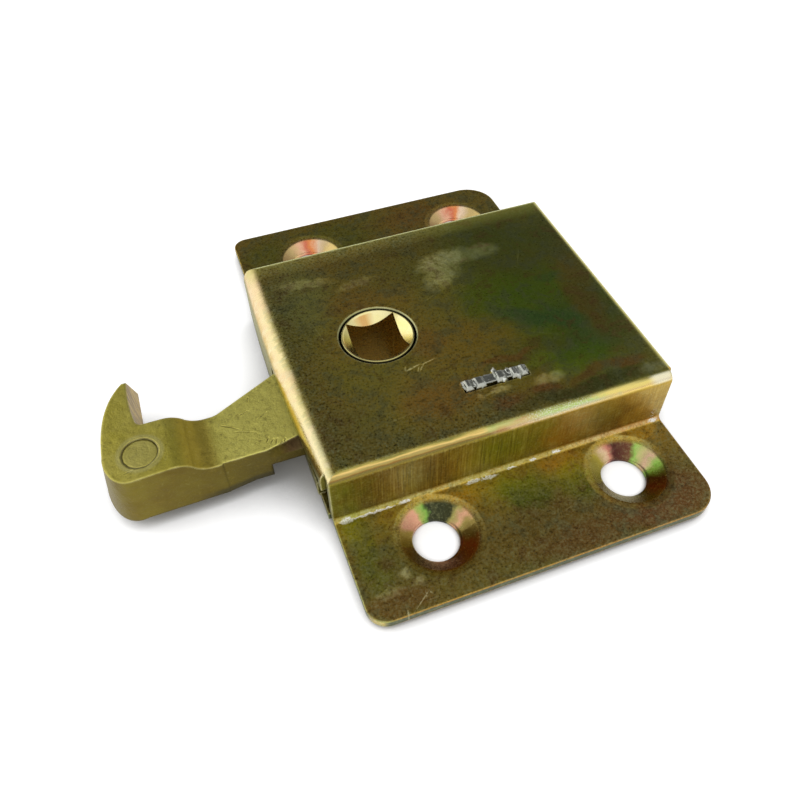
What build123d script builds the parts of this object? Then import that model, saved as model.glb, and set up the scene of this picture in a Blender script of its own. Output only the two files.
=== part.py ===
from build123d import *

import math
import os

# Car boot lock: a slam latch in a pressed steel case, with a cast brass hook that
# swings about the axis of a square-socket follower.
#
# Millimetres. The origin lies on the follower's axis, in the plane of the mounting
# face (the underside of the flanges). +Z points to the top of the case, +X points
# away from the hook, and the hook closes towards +Y.

# Overlap that makes two joined forms one solid
SLIVER = 0.01

# Pressed case
SHEET = 1.25
CASE_LEFT = -16.1
CASE_RIGHT = 39.5
CASE_FRONT = -23.9
CASE_REAR = 23.5
CASE_HEIGHT = 11.1
TOP_BEND_R = 1.5
LEFT_BEND_R = 2.5
FOOT_R = 0.8
WALL_LEFT = -15.4
WALL_RIGHT = 38.4
FLAP_FRONT = -21.9
FLAP_REAR = 23.4

# Flanges and their screw holes
FLANGE_LEFT = -15.4
FLANGE_RIGHT = 38.4
FLANGE_FRONT = -41.1
FLANGE_REAR = 44.0
FRONT_CORNER_R = (3.0, 4.6)
REAR_CORNER_R = (2.4, 5.5)
SCREW_SPACING_X = 30.6
SCREW_SPACING_Y = 65.3
SCREW_CENTRE = (13.35, 1.5)

# Dimpled screw seats: the sheet is pressed down round each hole, a little off its centre
SCREW_HOLE_R = 3.45
HOLE_OFFSET = (-0.4, 0.1)
SINK_R = 6.15
SINK_ROLL = 0.55
SINK_LAND_R = 3.4
SINK_LAND_TOP = -0.5
DIMPLE_BOTTOM = -1.1
DIMPLE_FOOT_R = 4.4

# Outward bow of the left flap, at four places along Y, and how many strips follow it
FLAP_BOW = ((FLAP_REAR, 0.45), (8.0, 1.0), (-9.0, 0.75), (FLAP_FRONT, 0.0))
FLAP_STRIPS = 6

# Window for the hook's arm
WINDOW_REAR = 2.0
WINDOW_TOP = 8.25
TOOTH_REAR = -21.0
TOOTH_BOTTOM = 6.6

# Back plate, its sill under the arm and its staked lug
PLATE_LEFT = -15.75
PLATE_LEFT_INSIDE = -14.7
PLATE_RIGHT = 38.1
PLATE_FRONT = -22.6
PLATE_REAR = 22.2
SILL_FRONT = -18.7
SILL_REAR = 1.6
SILL_HEIGHT = 4.0
SILL_R = 1.6
LUG_LEFT = 8.1
LUG_RIGHT = 18.5
LUG_Y = -14.9
LUG_SLIT = 0.6
LUG_FOOT_R = 0.4
SLIT_GAP = 0.1
SLIT_FRONT_GAP = 0.6
LUG_HEAD_REAR = 0.9
LUG_HEAD_HEIGHT = 0.2
LUMP_WIDTH = 2.2
LUMP_HEIGHT = 0.4
LUMP_TAPER = 35
LUMPS = ((8.9, 1.4), (10.7, 1.8), (14.1, 1.8), (16.3, 1.3), (17.8, 1.2))
TONGUE_X = (4.0, 22.0)
TONGUE_WIDTH = 7.0
TONGUE_Z = 2.7
TONGUE_RUN = 3.2
JOGGLE_OFFSET = 0.5
SLOT_GAP = 0.15
CUT_GAP = 0.5

# Square-socket follower
SQUARE = 7.94
RUNNING_GAP = 0.07
JOURNAL_R = 5.88
JOURNAL_TOP = CASE_HEIGHT - 0.05
RIM_CHAMFER = 0.22
SOCKET_CONE_R = 5.55
FLANGE_R = 8.3
FLANGE_BOTTOM = 1.9
FLANGE_TOP = 4.2
LOWER_JOURNAL_R = 6.8
DOG_R = 8.2
DOG_TOP = 6.2
DOG_FROM = 40.0
DOG_TO = 80.0
DOG_GAP = 0.15
MOUTH_CHAMFER = 0.35

# Hook
HOOK_SWING = 22.0
HOOK_BOTTOM = 1.77
ARM_BOTTOM = 4.3
ARM_TOP = 7.9
HEAD_TOP = 10.4
BOSS_R = 9.6
BOSS_TOP = 9.2
REBATE_R = 25.1
ARM_FRONT = -13.4
ARM_ROOT = ((7.0, -3.0), (-3.5, 7.5), (-17.2, 0.6))
NECK_X = -27.4
NECK_R = 3.0
HEAD_RIGHT = -28.0
HEAD_REAR = -4.45
JOINT_X = HEAD_RIGHT - 0.3
MOUTH_CORNER = (-38.3, -4.4)
MOUTH_CORNER_R = 1.0
NOSE_HOLLOW = (0.05, 0.3)
RAMP_X = (-34.6, -31.9, -29.0)
RAMP_MIDDLE = 9.3
DRAFT_RIGHT = -24.0
DRAFT_Y = 0.7
BEVEL_LEFT = -21.5
BEVEL_RIGHT = -15.0
BEVEL_HEIGHT = 1.9
BEVEL_DEPTH = 1.5
TAIL_RIGHT = 17.0
TAIL_REAR = -9.4
TAIL_PAD_X = 14.2
TAIL_R = 1.5
PIN_CENTRE = (-38.35, -9.5)
PIN_R = 2.5
PIN_CHAMFER = 0.2
PIN_DEPTH = 0.1
PRESS_GAP = 0.005
DOG_CLEARANCE = 0.5
OVERTRAVEL = 2.0

# Washers
WASHER_GAP = 0.05
WASHER_BORE_GAP = 0.3
THRUST_OUTER_R = 9.2
SHIM_OUTER_R = 8.6
SHIM_THICKNESS = 0.5

# Return spring, its clamp and rivets
SPRING_THICKNESS = 0.4
SPRING_Z = (4.5, 7.7)
SPRING_END_X = 15.9
SPRING_BEND_X = 7.1
SPRING_MIDDLE = (-3.0, 1.1)
SPRING_TOUCH_X = -10.0
SPRING_TIP = (-13.2, 0.7)
CLAMP_X = (8.5, 13.7)
CLAMP_THICKNESS = 1.0
CLAMP_CORNER = 0.6
RIVET_X = (9.8, 12.4)
RIVET_R = 0.6
RIVET_HEAD_R = 1.1
RIVET_HEAD_HEIGHT = 0.5


def ring(outer_r, inner_r, bottom, top):
    """Flat ring on the follower's axis."""
    body = Pos(0, 0, bottom) * extrude(Circle(outer_r) - Circle(inner_r), top - bottom)
    return body


def slab(x0, x1, y0, y1, z0, z1):
    """Rectangular block between two corners."""
    size = (x1 - x0, y1 - y0, z1 - z0)
    centre = ((x0 + x1) / 2, (y0 + y1) / 2, (z0 + z1) / 2)
    return Pos(*centre) * Box(*size)


def sector(outer_r, inner_r, start, end, bottom, top):
    """Part of a ring between two angles, in degrees."""
    angles = [math.radians(a) for a in (start, (start + end) / 2, end)]
    outer = ThreePointArc(*[(outer_r * math.cos(a), outer_r * math.sin(a)) for a in angles])
    inner = ThreePointArc(*[(inner_r * math.cos(a), inner_r * math.sin(a)) for a in angles])
    face = make_face([outer, Line(outer @ 1, inner @ 1), inner, Line(inner @ 0, outer @ 0)])
    return Pos(0, 0, bottom) * extrude(face, top - bottom)


def near(vertices, x, y, tolerance=0.01):
    """Vertices of a sketch that stand at one of its corners."""
    return [v for v in vertices if abs(v.X - x) < tolerance and abs(v.Y - y) < tolerance]


def seat_places():
    """Centres of the four screw seats."""
    cx, cy = SCREW_CENTRE
    return [
        (cx + sx * SCREW_SPACING_X / 2, cy + sy * SCREW_SPACING_Y / 2)
        for sx in (-1, 1)
        for sy in (-1, 1)
    ]


def hat_section():
    """Folded strip seen along X: flange, foot bend, wall, top, wall, foot bend, flange."""
    inside_front = CASE_FRONT + SHEET
    inside_rear = CASE_REAR - SHEET
    inside_top = CASE_HEIGHT - SHEET
    section = make_face(Polyline(
        (FLANGE_FRONT, 0), (FLANGE_FRONT, SHEET), (CASE_FRONT, SHEET), (CASE_FRONT, CASE_HEIGHT),
        (CASE_REAR, CASE_HEIGHT), (CASE_REAR, SHEET), (FLANGE_REAR, SHEET), (FLANGE_REAR, 0),
        (inside_rear, 0), (inside_rear, inside_top), (inside_front, inside_top), (inside_front, 0),
        close=True,
    ))
    bends = (
        ((CASE_FRONT, SHEET), (CASE_REAR, SHEET), FOOT_R),
        ((inside_front, 0), (inside_rear, 0), FOOT_R + SHEET),
        ((CASE_FRONT, CASE_HEIGHT), (CASE_REAR, CASE_HEIGHT), TOP_BEND_R),
        ((inside_front, inside_top), (inside_rear, inside_top), TOP_BEND_R - SHEET),
    )
    for first, second, radius in bends:
        corners = near(section.vertices(), *first) + near(section.vertices(), *second)
        section = fillet(corners, radius)
    return section


def end_bounds(bow, start_y, end_y):
    """Everything between the outer faces of the end flaps, with their bends, from one Y to another."""
    left = CASE_LEFT - bow
    section = make_face(Polyline(
        (left, DIMPLE_BOTTOM), (left, CASE_HEIGHT), (CASE_RIGHT, CASE_HEIGHT), (CASE_RIGHT, DIMPLE_BOTTOM),
        close=True,
    ))
    section = fillet(near(section.vertices(), left, CASE_HEIGHT), LEFT_BEND_R + bow)
    section = fillet(near(section.vertices(), CASE_RIGHT, CASE_HEIGHT), TOP_BEND_R)
    plane = Plane(origin=(0, end_y, 0), x_dir=(1, 0, 0), z_dir=(0, -1, 0))
    return extrude(plane * section, end_y - start_y)


def side_bounds():
    """Everything between the outer faces of the front and rear walls, along X."""
    section = make_face(Polyline(
        (CASE_FRONT, 0), (CASE_FRONT, CASE_HEIGHT), (CASE_REAR, CASE_HEIGHT), (CASE_REAR, 0),
        close=True,
    ))
    for y in (CASE_FRONT, CASE_REAR):
        section = fillet(near(section.vertices(), y, CASE_HEIGHT), TOP_BEND_R)
    plane = Plane(origin=(2 * CASE_LEFT, 0, 0), x_dir=(0, 1, 0), z_dir=(1, 0, 0))
    return extrude(plane * section, 2 * (CASE_RIGHT - CASE_LEFT))


def flap_section(outer_x, inner_x, bend_r, side):
    """L-shaped section of an end flap and the strip of the top that it bends from."""
    wall_inside = outer_x - side * SHEET
    inside_top = CASE_HEIGHT - SHEET
    section = make_face(Polyline(
        (outer_x, 0), (outer_x, CASE_HEIGHT), (inner_x, CASE_HEIGHT), (inner_x, inside_top),
        (wall_inside, inside_top), (wall_inside, 0),
        close=True,
    ))
    section = fillet(near(section.vertices(), outer_x, CASE_HEIGHT), bend_r)
    return fillet(near(section.vertices(), wall_inside, inside_top), bend_r - SHEET)


def left_flap():
    """Left flap, bowed outwards round the window that the arm comes through."""
    inner_x = CASE_LEFT + LEFT_BEND_R + SLIVER
    bow_line = Spline(*FLAP_BOW)
    sections = []
    for station in range(FLAP_STRIPS + 1):
        place = bow_line @ (station / FLAP_STRIPS)
        face = flap_section(CASE_LEFT - place.Y, inner_x, LEFT_BEND_R + place.Y, -1)
        sections.append(Plane(origin=(0, place.X, 0), x_dir=(1, 0, 0), z_dir=(0, -1, 0)) * face)
    flap = loft(sections, ruled=True)
    outside = CASE_LEFT - 3
    inside = CASE_LEFT + LEFT_BEND_R
    window = slab(outside, inside, TOOTH_REAR, WINDOW_REAR, -1, WINDOW_TOP)
    under_tooth = slab(outside, inside, FLAP_FRONT - 1, TOOTH_REAR, -1, TOOTH_BOTTOM)
    return flap - window - under_tooth


def right_flap():
    """Plain flap that closes the case's right end."""
    inner_x = CASE_RIGHT - TOP_BEND_R - SLIVER
    face = flap_section(CASE_RIGHT, inner_x, TOP_BEND_R, 1)
    plane = Plane(origin=(0, FLAP_REAR, 0), x_dir=(1, 0, 0), z_dir=(0, -1, 0))
    return extrude(plane * face, FLAP_REAR - FLAP_FRONT)


def flange_corner_cutter(x, y, towards_x, towards_y, radius):
    """What a flange corner loses when it is rounded."""
    half = radius / 2
    block = Pos(x - towards_x * half, y - towards_y * half, SHEET / 2) * Box(radius, radius, 2 * SHEET)
    round_part = Pos(x - towards_x * radius, y - towards_y * radius, SHEET / 2) * Cylinder(radius, 3 * SHEET)
    return block - round_part


def sink_cutter():
    """What a screw seat and its hole take out of the flange: a cone with a rolled rim and a round hole."""
    roll_start = (SINK_R - SINK_ROLL, SHEET - SINK_ROLL / 2)
    roll_end = (SINK_R + SINK_ROLL, SHEET)
    profile = make_face(Polyline(
        (0, SINK_LAND_TOP), (SINK_LAND_R, SINK_LAND_TOP), roll_start,
        roll_end, (SINK_R + SINK_ROLL, SHEET + 1), (0, SHEET + 1),
        close=True,
    ))
    seat = revolve(Plane.XZ * profile, Axis.Z)
    return seat + Pos(*HOLE_OFFSET, 0) * Cylinder(SCREW_HOLE_R, 2 * SHEET)


def dimple():
    """Metal that the screw seat pushes out below the flange."""
    depth = -DIMPLE_BOTTOM
    return Pos(0, 0, DIMPLE_BOTTOM / 2) * Cone(DIMPLE_FOOT_R, SINK_R, depth)


def make_case():
    """One pressing: top, two walls with flanges, and two end flaps."""
    section = Plane(origin=(WALL_LEFT, 0, 0), x_dir=(0, 1, 0), z_dir=(1, 0, 0)) * hat_section()
    shell = extrude(section, FLANGE_RIGHT - WALL_LEFT)
    shell -= slab(
        WALL_RIGHT, FLANGE_RIGHT + 1, CASE_FRONT - 0.05, CASE_REAR + 0.05, -1, CASE_HEIGHT + 1,
    )
    front_part = end_bounds(FLAP_BOW[-1][1], FLANGE_FRONT - 1, 0)
    rear_part = end_bounds(FLAP_BOW[0][1], 0, FLANGE_REAR + 1)
    shell &= front_part + rear_part
    ends_y = (FLAP_FRONT, CASE_REAR - SHEET)
    shell -= slab(WALL_LEFT - 1, CASE_LEFT + LEFT_BEND_R, *ends_y, SHEET, CASE_HEIGHT + 1)
    shell -= slab(CASE_RIGHT - TOP_BEND_R, WALL_RIGHT + 2, *ends_y, SHEET, CASE_HEIGHT + 1)
    corners = (
        (FLANGE_LEFT, FLANGE_FRONT, -1, -1, FRONT_CORNER_R[0]),
        (FLANGE_RIGHT, FLANGE_FRONT, 1, -1, FRONT_CORNER_R[1]),
        (FLANGE_LEFT, FLANGE_REAR, -1, 1, REAR_CORNER_R[0]),
        (FLANGE_RIGHT, FLANGE_REAR, 1, 1, REAR_CORNER_R[1]),
    )
    for corner in corners:
        shell -= flange_corner_cutter(*corner)
    seat = dimple()
    cutter = sink_cutter()
    for x, y in seat_places():
        shell += Pos(x, y, 0) * seat
        shell -= Pos(x, y, 0) * cutter
    shell = shell + (left_flap() & side_bounds()) + (right_flap() & side_bounds())
    hole_r = JOURNAL_R + RUNNING_GAP
    shell -= Pos(0, 0, CASE_HEIGHT) * Cylinder(hole_r, 4)
    mouth = Cone(hole_r, hole_r + 2 * MOUTH_CHAMFER, 2 * MOUTH_CHAMFER)
    shell -= Pos(0, 0, CASE_HEIGHT) * mouth
    slit_front = LUG_Y - LUG_SLIT - SLIT_FRONT_GAP
    slit_rear = LUG_Y + LUG_SLIT + SLIT_GAP
    shell -= slab(
        LUG_LEFT - SLIT_GAP, LUG_RIGHT + SLIT_GAP, slit_front, slit_rear,
        CASE_HEIGHT - SHEET - 1, CASE_HEIGHT + 1,
    )
    slot_half = TONGUE_WIDTH / 2 + SLOT_GAP
    for x in TONGUE_X:
        shell -= slab(
            x - slot_half, x + slot_half, CASE_REAR - SHEET - 1, CASE_REAR + 1,
            TONGUE_Z - SLIT_GAP, TONGUE_Z + SHEET + SLIT_GAP,
        )
    return shell


def sill():
    """Edge of the back plate turned up under the arm."""
    plane = Plane(origin=(0, SILL_REAR, 0), x_dir=(1, 0, 0), z_dir=(0, -1, 0))
    section = make_face(Polyline(
        (CASE_LEFT, 0), (CASE_LEFT, SILL_HEIGHT), (CASE_LEFT + SHEET, SILL_HEIGHT),
        (CASE_LEFT + SHEET, SHEET), (PLATE_LEFT_INSIDE + 2, SHEET), (PLATE_LEFT_INSIDE + 2, 0),
        close=True,
    ))
    section = fillet(near(section.vertices(), CASE_LEFT, 0), SILL_R)
    section = fillet(near(section.vertices(), CASE_LEFT + SHEET, SHEET), SILL_R - SHEET)
    return extrude(plane * section, SILL_REAR - SILL_FRONT)


def lug():
    """Tab bent up from the plate, through the case's top, and peened over it."""
    back = LUG_Y + LUG_SLIT
    front = LUG_Y - LUG_SLIT
    plane = Plane(origin=(LUG_LEFT, 0, 0), x_dir=(0, 1, 0), z_dir=(1, 0, 0))
    foot_end = back + 3
    section = make_face(Polyline(
        (foot_end, 0), (front, 0), (front, CASE_HEIGHT), (back, CASE_HEIGHT), (back, SHEET),
        (foot_end, SHEET),
        close=True,
    ))
    section = fillet(near(section.vertices(), front, 0), LUG_FOOT_R + SHEET)
    section = fillet(near(section.vertices(), back, SHEET), LUG_FOOT_R)
    tab = extrude(plane * section, LUG_RIGHT - LUG_LEFT)
    head_rear = LUG_Y + LUG_HEAD_REAR
    tab += slab(LUG_LEFT, LUG_RIGHT, front, head_rear, CASE_HEIGHT, CASE_HEIGHT + LUG_HEAD_HEIGHT)
    for x, length in LUMPS:
        lump = extrude(Rectangle(length, LUMP_WIDTH), LUG_HEAD_HEIGHT + LUMP_HEIGHT, taper=LUMP_TAPER)
        tab += Pos(x, LUG_Y, CASE_HEIGHT) * lump
    for x in RIVET_X:
        tab -= Pos(x, LUG_Y, rivet_height()) * Rot(90, 0, 0) * Cylinder(RIVET_R, 4)
    return tab


def tongue(x):
    """Joggled tongue that hooks the plate into the rear wall."""
    start = PLATE_REAR - TONGUE_RUN
    section = make_face(Polyline(
        (start - 1, 0), (start - 1, SHEET), (start, SHEET), (start + TONGUE_Z, TONGUE_Z + SHEET),
        (CASE_REAR, TONGUE_Z + SHEET), (CASE_REAR, TONGUE_Z), (start + TONGUE_Z + JOGGLE_OFFSET, TONGUE_Z),
        (start + JOGGLE_OFFSET, 0),
        close=True,
    ))
    plane = Plane(origin=(x - TONGUE_WIDTH / 2, 0, 0), x_dir=(0, 1, 0), z_dir=(1, 0, 0))
    return extrude(plane * section, TONGUE_WIDTH)


def make_back_plate():
    """Flat plate that closes the case and carries the follower's lower journal."""
    plate = slab(PLATE_LEFT, PLATE_RIGHT, PLATE_FRONT, PLATE_REAR, 0, SHEET)
    plate -= slab(PLATE_LEFT - 1, PLATE_LEFT_INSIDE, SILL_FRONT, PLATE_REAR + 1, -1, SHEET + 1)
    notch_rear = LUG_Y + LUG_SLIT + 1
    plate -= slab(LUG_LEFT - CUT_GAP, LUG_RIGHT + CUT_GAP, PLATE_FRONT - 1, notch_rear, -1, SHEET + 1)
    cut_front = PLATE_REAR - TONGUE_RUN - CUT_GAP
    half = TONGUE_WIDTH / 2 + CUT_GAP
    for x in TONGUE_X:
        plate -= slab(x - half, x + half, cut_front, PLATE_REAR + 1, -1, SHEET + 1)
    plate = plate + sill() + lug()
    for x in TONGUE_X:
        plate += tongue(x)
    plate -= Cylinder(LOWER_JOURNAL_R + RUNNING_GAP, 4 * SHEET)
    return plate


def make_follower():
    """Round follower with a square socket, a flange under the hook and a driving dog."""
    body = Pos(0, 0, WASHER_GAP) * extrude(Circle(LOWER_JOURNAL_R), FLANGE_BOTTOM - WASHER_GAP)
    body += Pos(0, 0, FLANGE_BOTTOM) * extrude(Circle(FLANGE_R), FLANGE_TOP - FLANGE_BOTTOM)
    body += Pos(0, 0, FLANGE_TOP) * extrude(Circle(JOURNAL_R), JOURNAL_TOP - FLANGE_TOP)
    body = chamfer(body.faces().sort_by(Axis.Z)[-1].edges(), RIM_CHAMFER)
    body += sector(DOG_R, JOURNAL_R - 1, DOG_FROM, DOG_TO, FLANGE_TOP - 0.5, DOG_TOP)
    body -= Pos(0, 0, CASE_HEIGHT / 2) * Box(SQUARE, SQUARE, 3 * CASE_HEIGHT)
    lead_in = Pos(0, 0, JOURNAL_TOP - SOCKET_CONE_R / 2) * Cone(0, SOCKET_CONE_R, SOCKET_CONE_R)
    return body - lead_in


def head_section(outer, tip, inner_tip, heel, front, hollow):
    """Closed outline of the hook's head at one level, with the same edges at each level."""
    corner_x, corner_y = MOUTH_CORNER
    floor_end = (corner_x + MOUTH_CORNER_R, corner_y)
    wall_start = (corner_x, corner_y + MOUTH_CORNER_R)
    off = MOUTH_CORNER_R * (1 - math.sin(math.radians(45)))
    wall_middle = ((corner_x + inner_tip[0]) / 2 - hollow, (wall_start[1] + inner_tip[1]) / 2)
    front_end = (HEAD_RIGHT, front)
    edges = [
        Spline(tip, *outer, heel[0]),
        Spline(*heel),
        Line(heel[-1], front_end),
        Line(front_end, (HEAD_RIGHT, HEAD_REAR)),
        Line((HEAD_RIGHT, HEAD_REAR), floor_end),
        ThreePointArc(floor_end, (corner_x + off, corner_y + off), wall_start),
        ThreePointArc(wall_start, wall_middle, inner_tip),
        Line(inner_tip, tip),
    ]
    return make_face(edges)


def ramp_cutter():
    """Space above the S-shaped ramp from the head down to the arm."""
    start = (RAMP_X[0], HEAD_TOP)
    middle = (RAMP_X[1], RAMP_MIDDLE)
    end = (RAMP_X[2], ARM_TOP)
    section = make_face([
        TangentArc(start, middle, tangent=(1, 0)),
        TangentArc(end, middle, tangent=(-1, 0)),
        Polyline(end, (0, ARM_TOP), (0, HEAD_TOP + 1), (RAMP_X[0], HEAD_TOP + 1), start),
    ])
    plane = Plane(origin=(0, 20, 0), x_dir=(1, 0, 0), z_dir=(0, -1, 0))
    return extrude(plane * section, 60)


def hook_head():
    """Head of the hook: the outer side of the nose slopes, so that it rides over a striker."""
    lower = head_section(
        outer=((-42.0, 5.3), (-44.3, -0.8)),
        tip=(-38.9, 10.1),
        inner_tip=(-38.25, 10.0),
        heel=((-45.0, -7.3), (-44.1, -11.7), (-42.3, -14.0), (-39.9, -14.35)),
        front=ARM_FRONT - DRAFT_Y,
        hollow=NOSE_HOLLOW[0],
    )
    upper = head_section(
        outer=((-41.5, 1.3), (-43.1, -4.3)),
        tip=(-39.2, 4.5),
        inner_tip=(-38.5, 4.5),
        heel=((-43.45, -8.5), (-43.0, -11.8), (-41.6, -13.6), (-39.6, -13.95)),
        front=ARM_FRONT,
        hollow=NOSE_HOLLOW[1],
    )
    head = loft([Pos(0, 0, HOOK_BOTTOM) * lower, Pos(0, 0, HEAD_TOP) * upper], ruled=True)
    return head - ramp_cutter()


def front_draft():
    """Wedge that carries the casting's draft from the head along the front of the arm."""
    lower = make_face(Polyline(
        (JOINT_X, ARM_FRONT - DRAFT_Y), (DRAFT_RIGHT, ARM_FRONT), (DRAFT_RIGHT, ARM_FRONT + 1),
        (JOINT_X, ARM_FRONT + 1),
        close=True,
    ))
    upper = make_face(Polyline(
        (JOINT_X, ARM_FRONT - SLIVER), (DRAFT_RIGHT, ARM_FRONT), (DRAFT_RIGHT, ARM_FRONT + 1),
        (JOINT_X, ARM_FRONT + 1),
        close=True,
    ))
    return loft([Pos(0, 0, HOOK_BOTTOM) * lower, Pos(0, 0, ARM_TOP) * upper], ruled=True)


def front_bevel():
    """Wedge cut off the arm's top front edge, deeper towards the case."""
    low = ARM_TOP - BEVEL_HEIGHT
    deep_y = ARM_FRONT + BEVEL_DEPTH
    thin_y = ARM_FRONT + SLIVER
    left = make_face(Polyline(
        (ARM_FRONT - 1, low), (ARM_FRONT, low), (thin_y, ARM_TOP), (thin_y, ARM_TOP + 1),
        (ARM_FRONT - 1, ARM_TOP + 1),
        close=True,
    ))
    right = make_face(Polyline(
        (ARM_FRONT - 1, low), (ARM_FRONT, low), (deep_y, ARM_TOP), (deep_y, ARM_TOP + 1),
        (ARM_FRONT - 1, ARM_TOP + 1),
        close=True,
    ))
    sections = []
    for x, face in ((BEVEL_LEFT, left), (BEVEL_RIGHT, right)):
        sections.append(Plane(origin=(x, 0, 0), x_dir=(0, 1, 0), z_dir=(1, 0, 0)) * face)
    return loft(sections, ruled=True)


def hook_arm():
    """Arm from the head, through the window, to the boss and the stop tail."""
    stop_y = LUG_Y + LUG_SLIT + WASHER_GAP
    outline = make_face(Polyline(
        (JOINT_X, ARM_FRONT), (TAIL_PAD_X, ARM_FRONT), (TAIL_PAD_X, stop_y), (TAIL_RIGHT, stop_y),
        (TAIL_RIGHT, TAIL_REAR), *ARM_ROOT, (NECK_X, HEAD_REAR), (JOINT_X, HEAD_REAR),
        close=True,
    ))
    outline = fillet(near(outline.vertices(), NECK_X, HEAD_REAR), NECK_R)
    outline = fillet(near(outline.vertices(), TAIL_RIGHT, TAIL_REAR), TAIL_R)
    arm = Pos(0, 0, HOOK_BOTTOM) * extrude(outline, ARM_TOP - HOOK_BOTTOM)
    clearance = Pos(0, 0, ARM_BOTTOM / 2) * Cylinder(REBATE_R, ARM_BOTTOM)
    return arm + front_draft() - clearance - front_bevel()


def make_hook():
    """Cast brass hook: head, arm, boss round the follower, recess for the dog, stop tail."""
    hook = hook_head() + hook_arm()
    hook += Pos(0, 0, ARM_BOTTOM) * extrude(Circle(BOSS_R), BOSS_TOP - ARM_BOTTOM)
    hook -= Pos(0, 0, CASE_HEIGHT / 2) * Cylinder(JOURNAL_R + RUNNING_GAP, 2 * CASE_HEIGHT)
    recess_from = DOG_FROM - HOOK_SWING - OVERTRAVEL
    recess_to = DOG_TO + DOG_CLEARANCE
    hook -= sector(DOG_R + DOG_GAP, JOURNAL_R - 1, recess_from, recess_to, ARM_BOTTOM - 1, DOG_TOP + DOG_GAP)
    hook -= Pos(*PIN_CENTRE, CASE_HEIGHT / 2) * Cylinder(PIN_R, 2 * CASE_HEIGHT)
    hook -= Pos(*PIN_CENTRE, HEAD_TOP) * Cone(PIN_R - PIN_CHAMFER, PIN_R + PIN_CHAMFER, 2 * PIN_CHAMFER)
    return hook


def make_head_pin():
    """Pin set through the head, a little below its top."""
    length = HEAD_TOP - PIN_DEPTH - HOOK_BOTTOM
    return Pos(*PIN_CENTRE, HOOK_BOTTOM) * extrude(Circle(PIN_R - PRESS_GAP), length)


def rivet_height():
    """Height of the rivets, at the middle of the spring strip."""
    return (SPRING_Z[0] + SPRING_Z[1]) / 2


def spring_front():
    """Y of the spring strip's front face where it lies on the lug."""
    return LUG_Y - LUG_SLIT - SPRING_THICKNESS


def make_return_spring():
    """Leaf that is held on the lug and presses on the front of the arm."""
    half = SPRING_THICKNESS / 2
    seat_y = LUG_Y - LUG_SLIT - half
    touch_y = ARM_FRONT - half - WASHER_GAP
    bend = (SPRING_BEND_X, seat_y)
    middle = (SPRING_MIDDLE[0], touch_y - SPRING_MIDDLE[1])
    touch = (SPRING_TOUCH_X, touch_y)
    tip = (SPRING_TIP[0], touch_y - SPRING_TIP[1])
    path = Curve() + [
        Line((SPRING_END_X, seat_y), bend),
        Spline(bend, middle, touch, tangents=((-1, 0), (-1, 0))),
        TangentArc(touch, tip, tangent=(-1, 0)),
    ]
    strip = trace(path, SPRING_THICKNESS)
    body = Pos(0, 0, SPRING_Z[0]) * extrude(strip, SPRING_Z[1] - SPRING_Z[0])
    for x in RIVET_X:
        body -= Pos(x, seat_y, rivet_height()) * Rot(90, 0, 0) * Cylinder(RIVET_R, 4)
    return body


def make_spring_clamp():
    """Small plate under the rivet heads."""
    back = spring_front()
    clamp = slab(*CLAMP_X, back - CLAMP_THICKNESS, back, SPRING_Z[0] - 0.2, SPRING_Z[1] + 0.2)
    clamp = chamfer(clamp.edges().filter_by(Axis.Y), CLAMP_CORNER)
    for x in RIVET_X:
        clamp -= Pos(x, back, rivet_height()) * Rot(90, 0, 0) * Cylinder(RIVET_R, 4)
    return clamp


def make_spring_rivets():
    """Two rivets through the clamp, the spring and the lug, peened flush behind the lug."""
    front = spring_front() - CLAMP_THICKNESS
    back = LUG_Y + LUG_SLIT
    rivets = []
    for x in RIVET_X:
        shank_place = Pos(x, (front + back) / 2, rivet_height()) * Rot(90, 0, 0)
        head_place = Pos(x, front - RIVET_HEAD_HEIGHT / 2, rivet_height()) * Rot(90, 0, 0)
        shank = shank_place * Cylinder(RIVET_R - PRESS_GAP, back - front)
        rivets.append(shank + head_place * Cylinder(RIVET_HEAD_R, RIVET_HEAD_HEIGHT))
    return Compound(rivets)


def make_thrust_washer():
    """Washer between the boss and the top of the case."""
    top = CASE_HEIGHT - SHEET - WASHER_GAP
    return ring(THRUST_OUTER_R, JOURNAL_R + WASHER_BORE_GAP, BOSS_TOP + WASHER_GAP, top)


def make_shim_washer():
    """Washer between the follower's flange and the back plate."""
    bottom = SHEET + WASHER_GAP
    return ring(SHIM_OUTER_R, LOWER_JOURNAL_R + WASHER_BORE_GAP, bottom, bottom + SHIM_THICKNESS)


PARTS = {
    "case": make_case,
    "back_plate": make_back_plate,
    "follower": make_follower,
    "hook": make_hook,
    "head_pin": make_head_pin,
    "return_spring": make_return_spring,
    "spring_clamp": make_spring_clamp,
    "spring_rivets": make_spring_rivets,
    "thrust_washer": make_thrust_washer,
    "shim_washer": make_shim_washer,
}

os.makedirs("parts", exist_ok=True)
for name, make in PARTS.items():
    export_step(make(), f"parts/{name}.step")
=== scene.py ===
import math
import random

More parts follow.
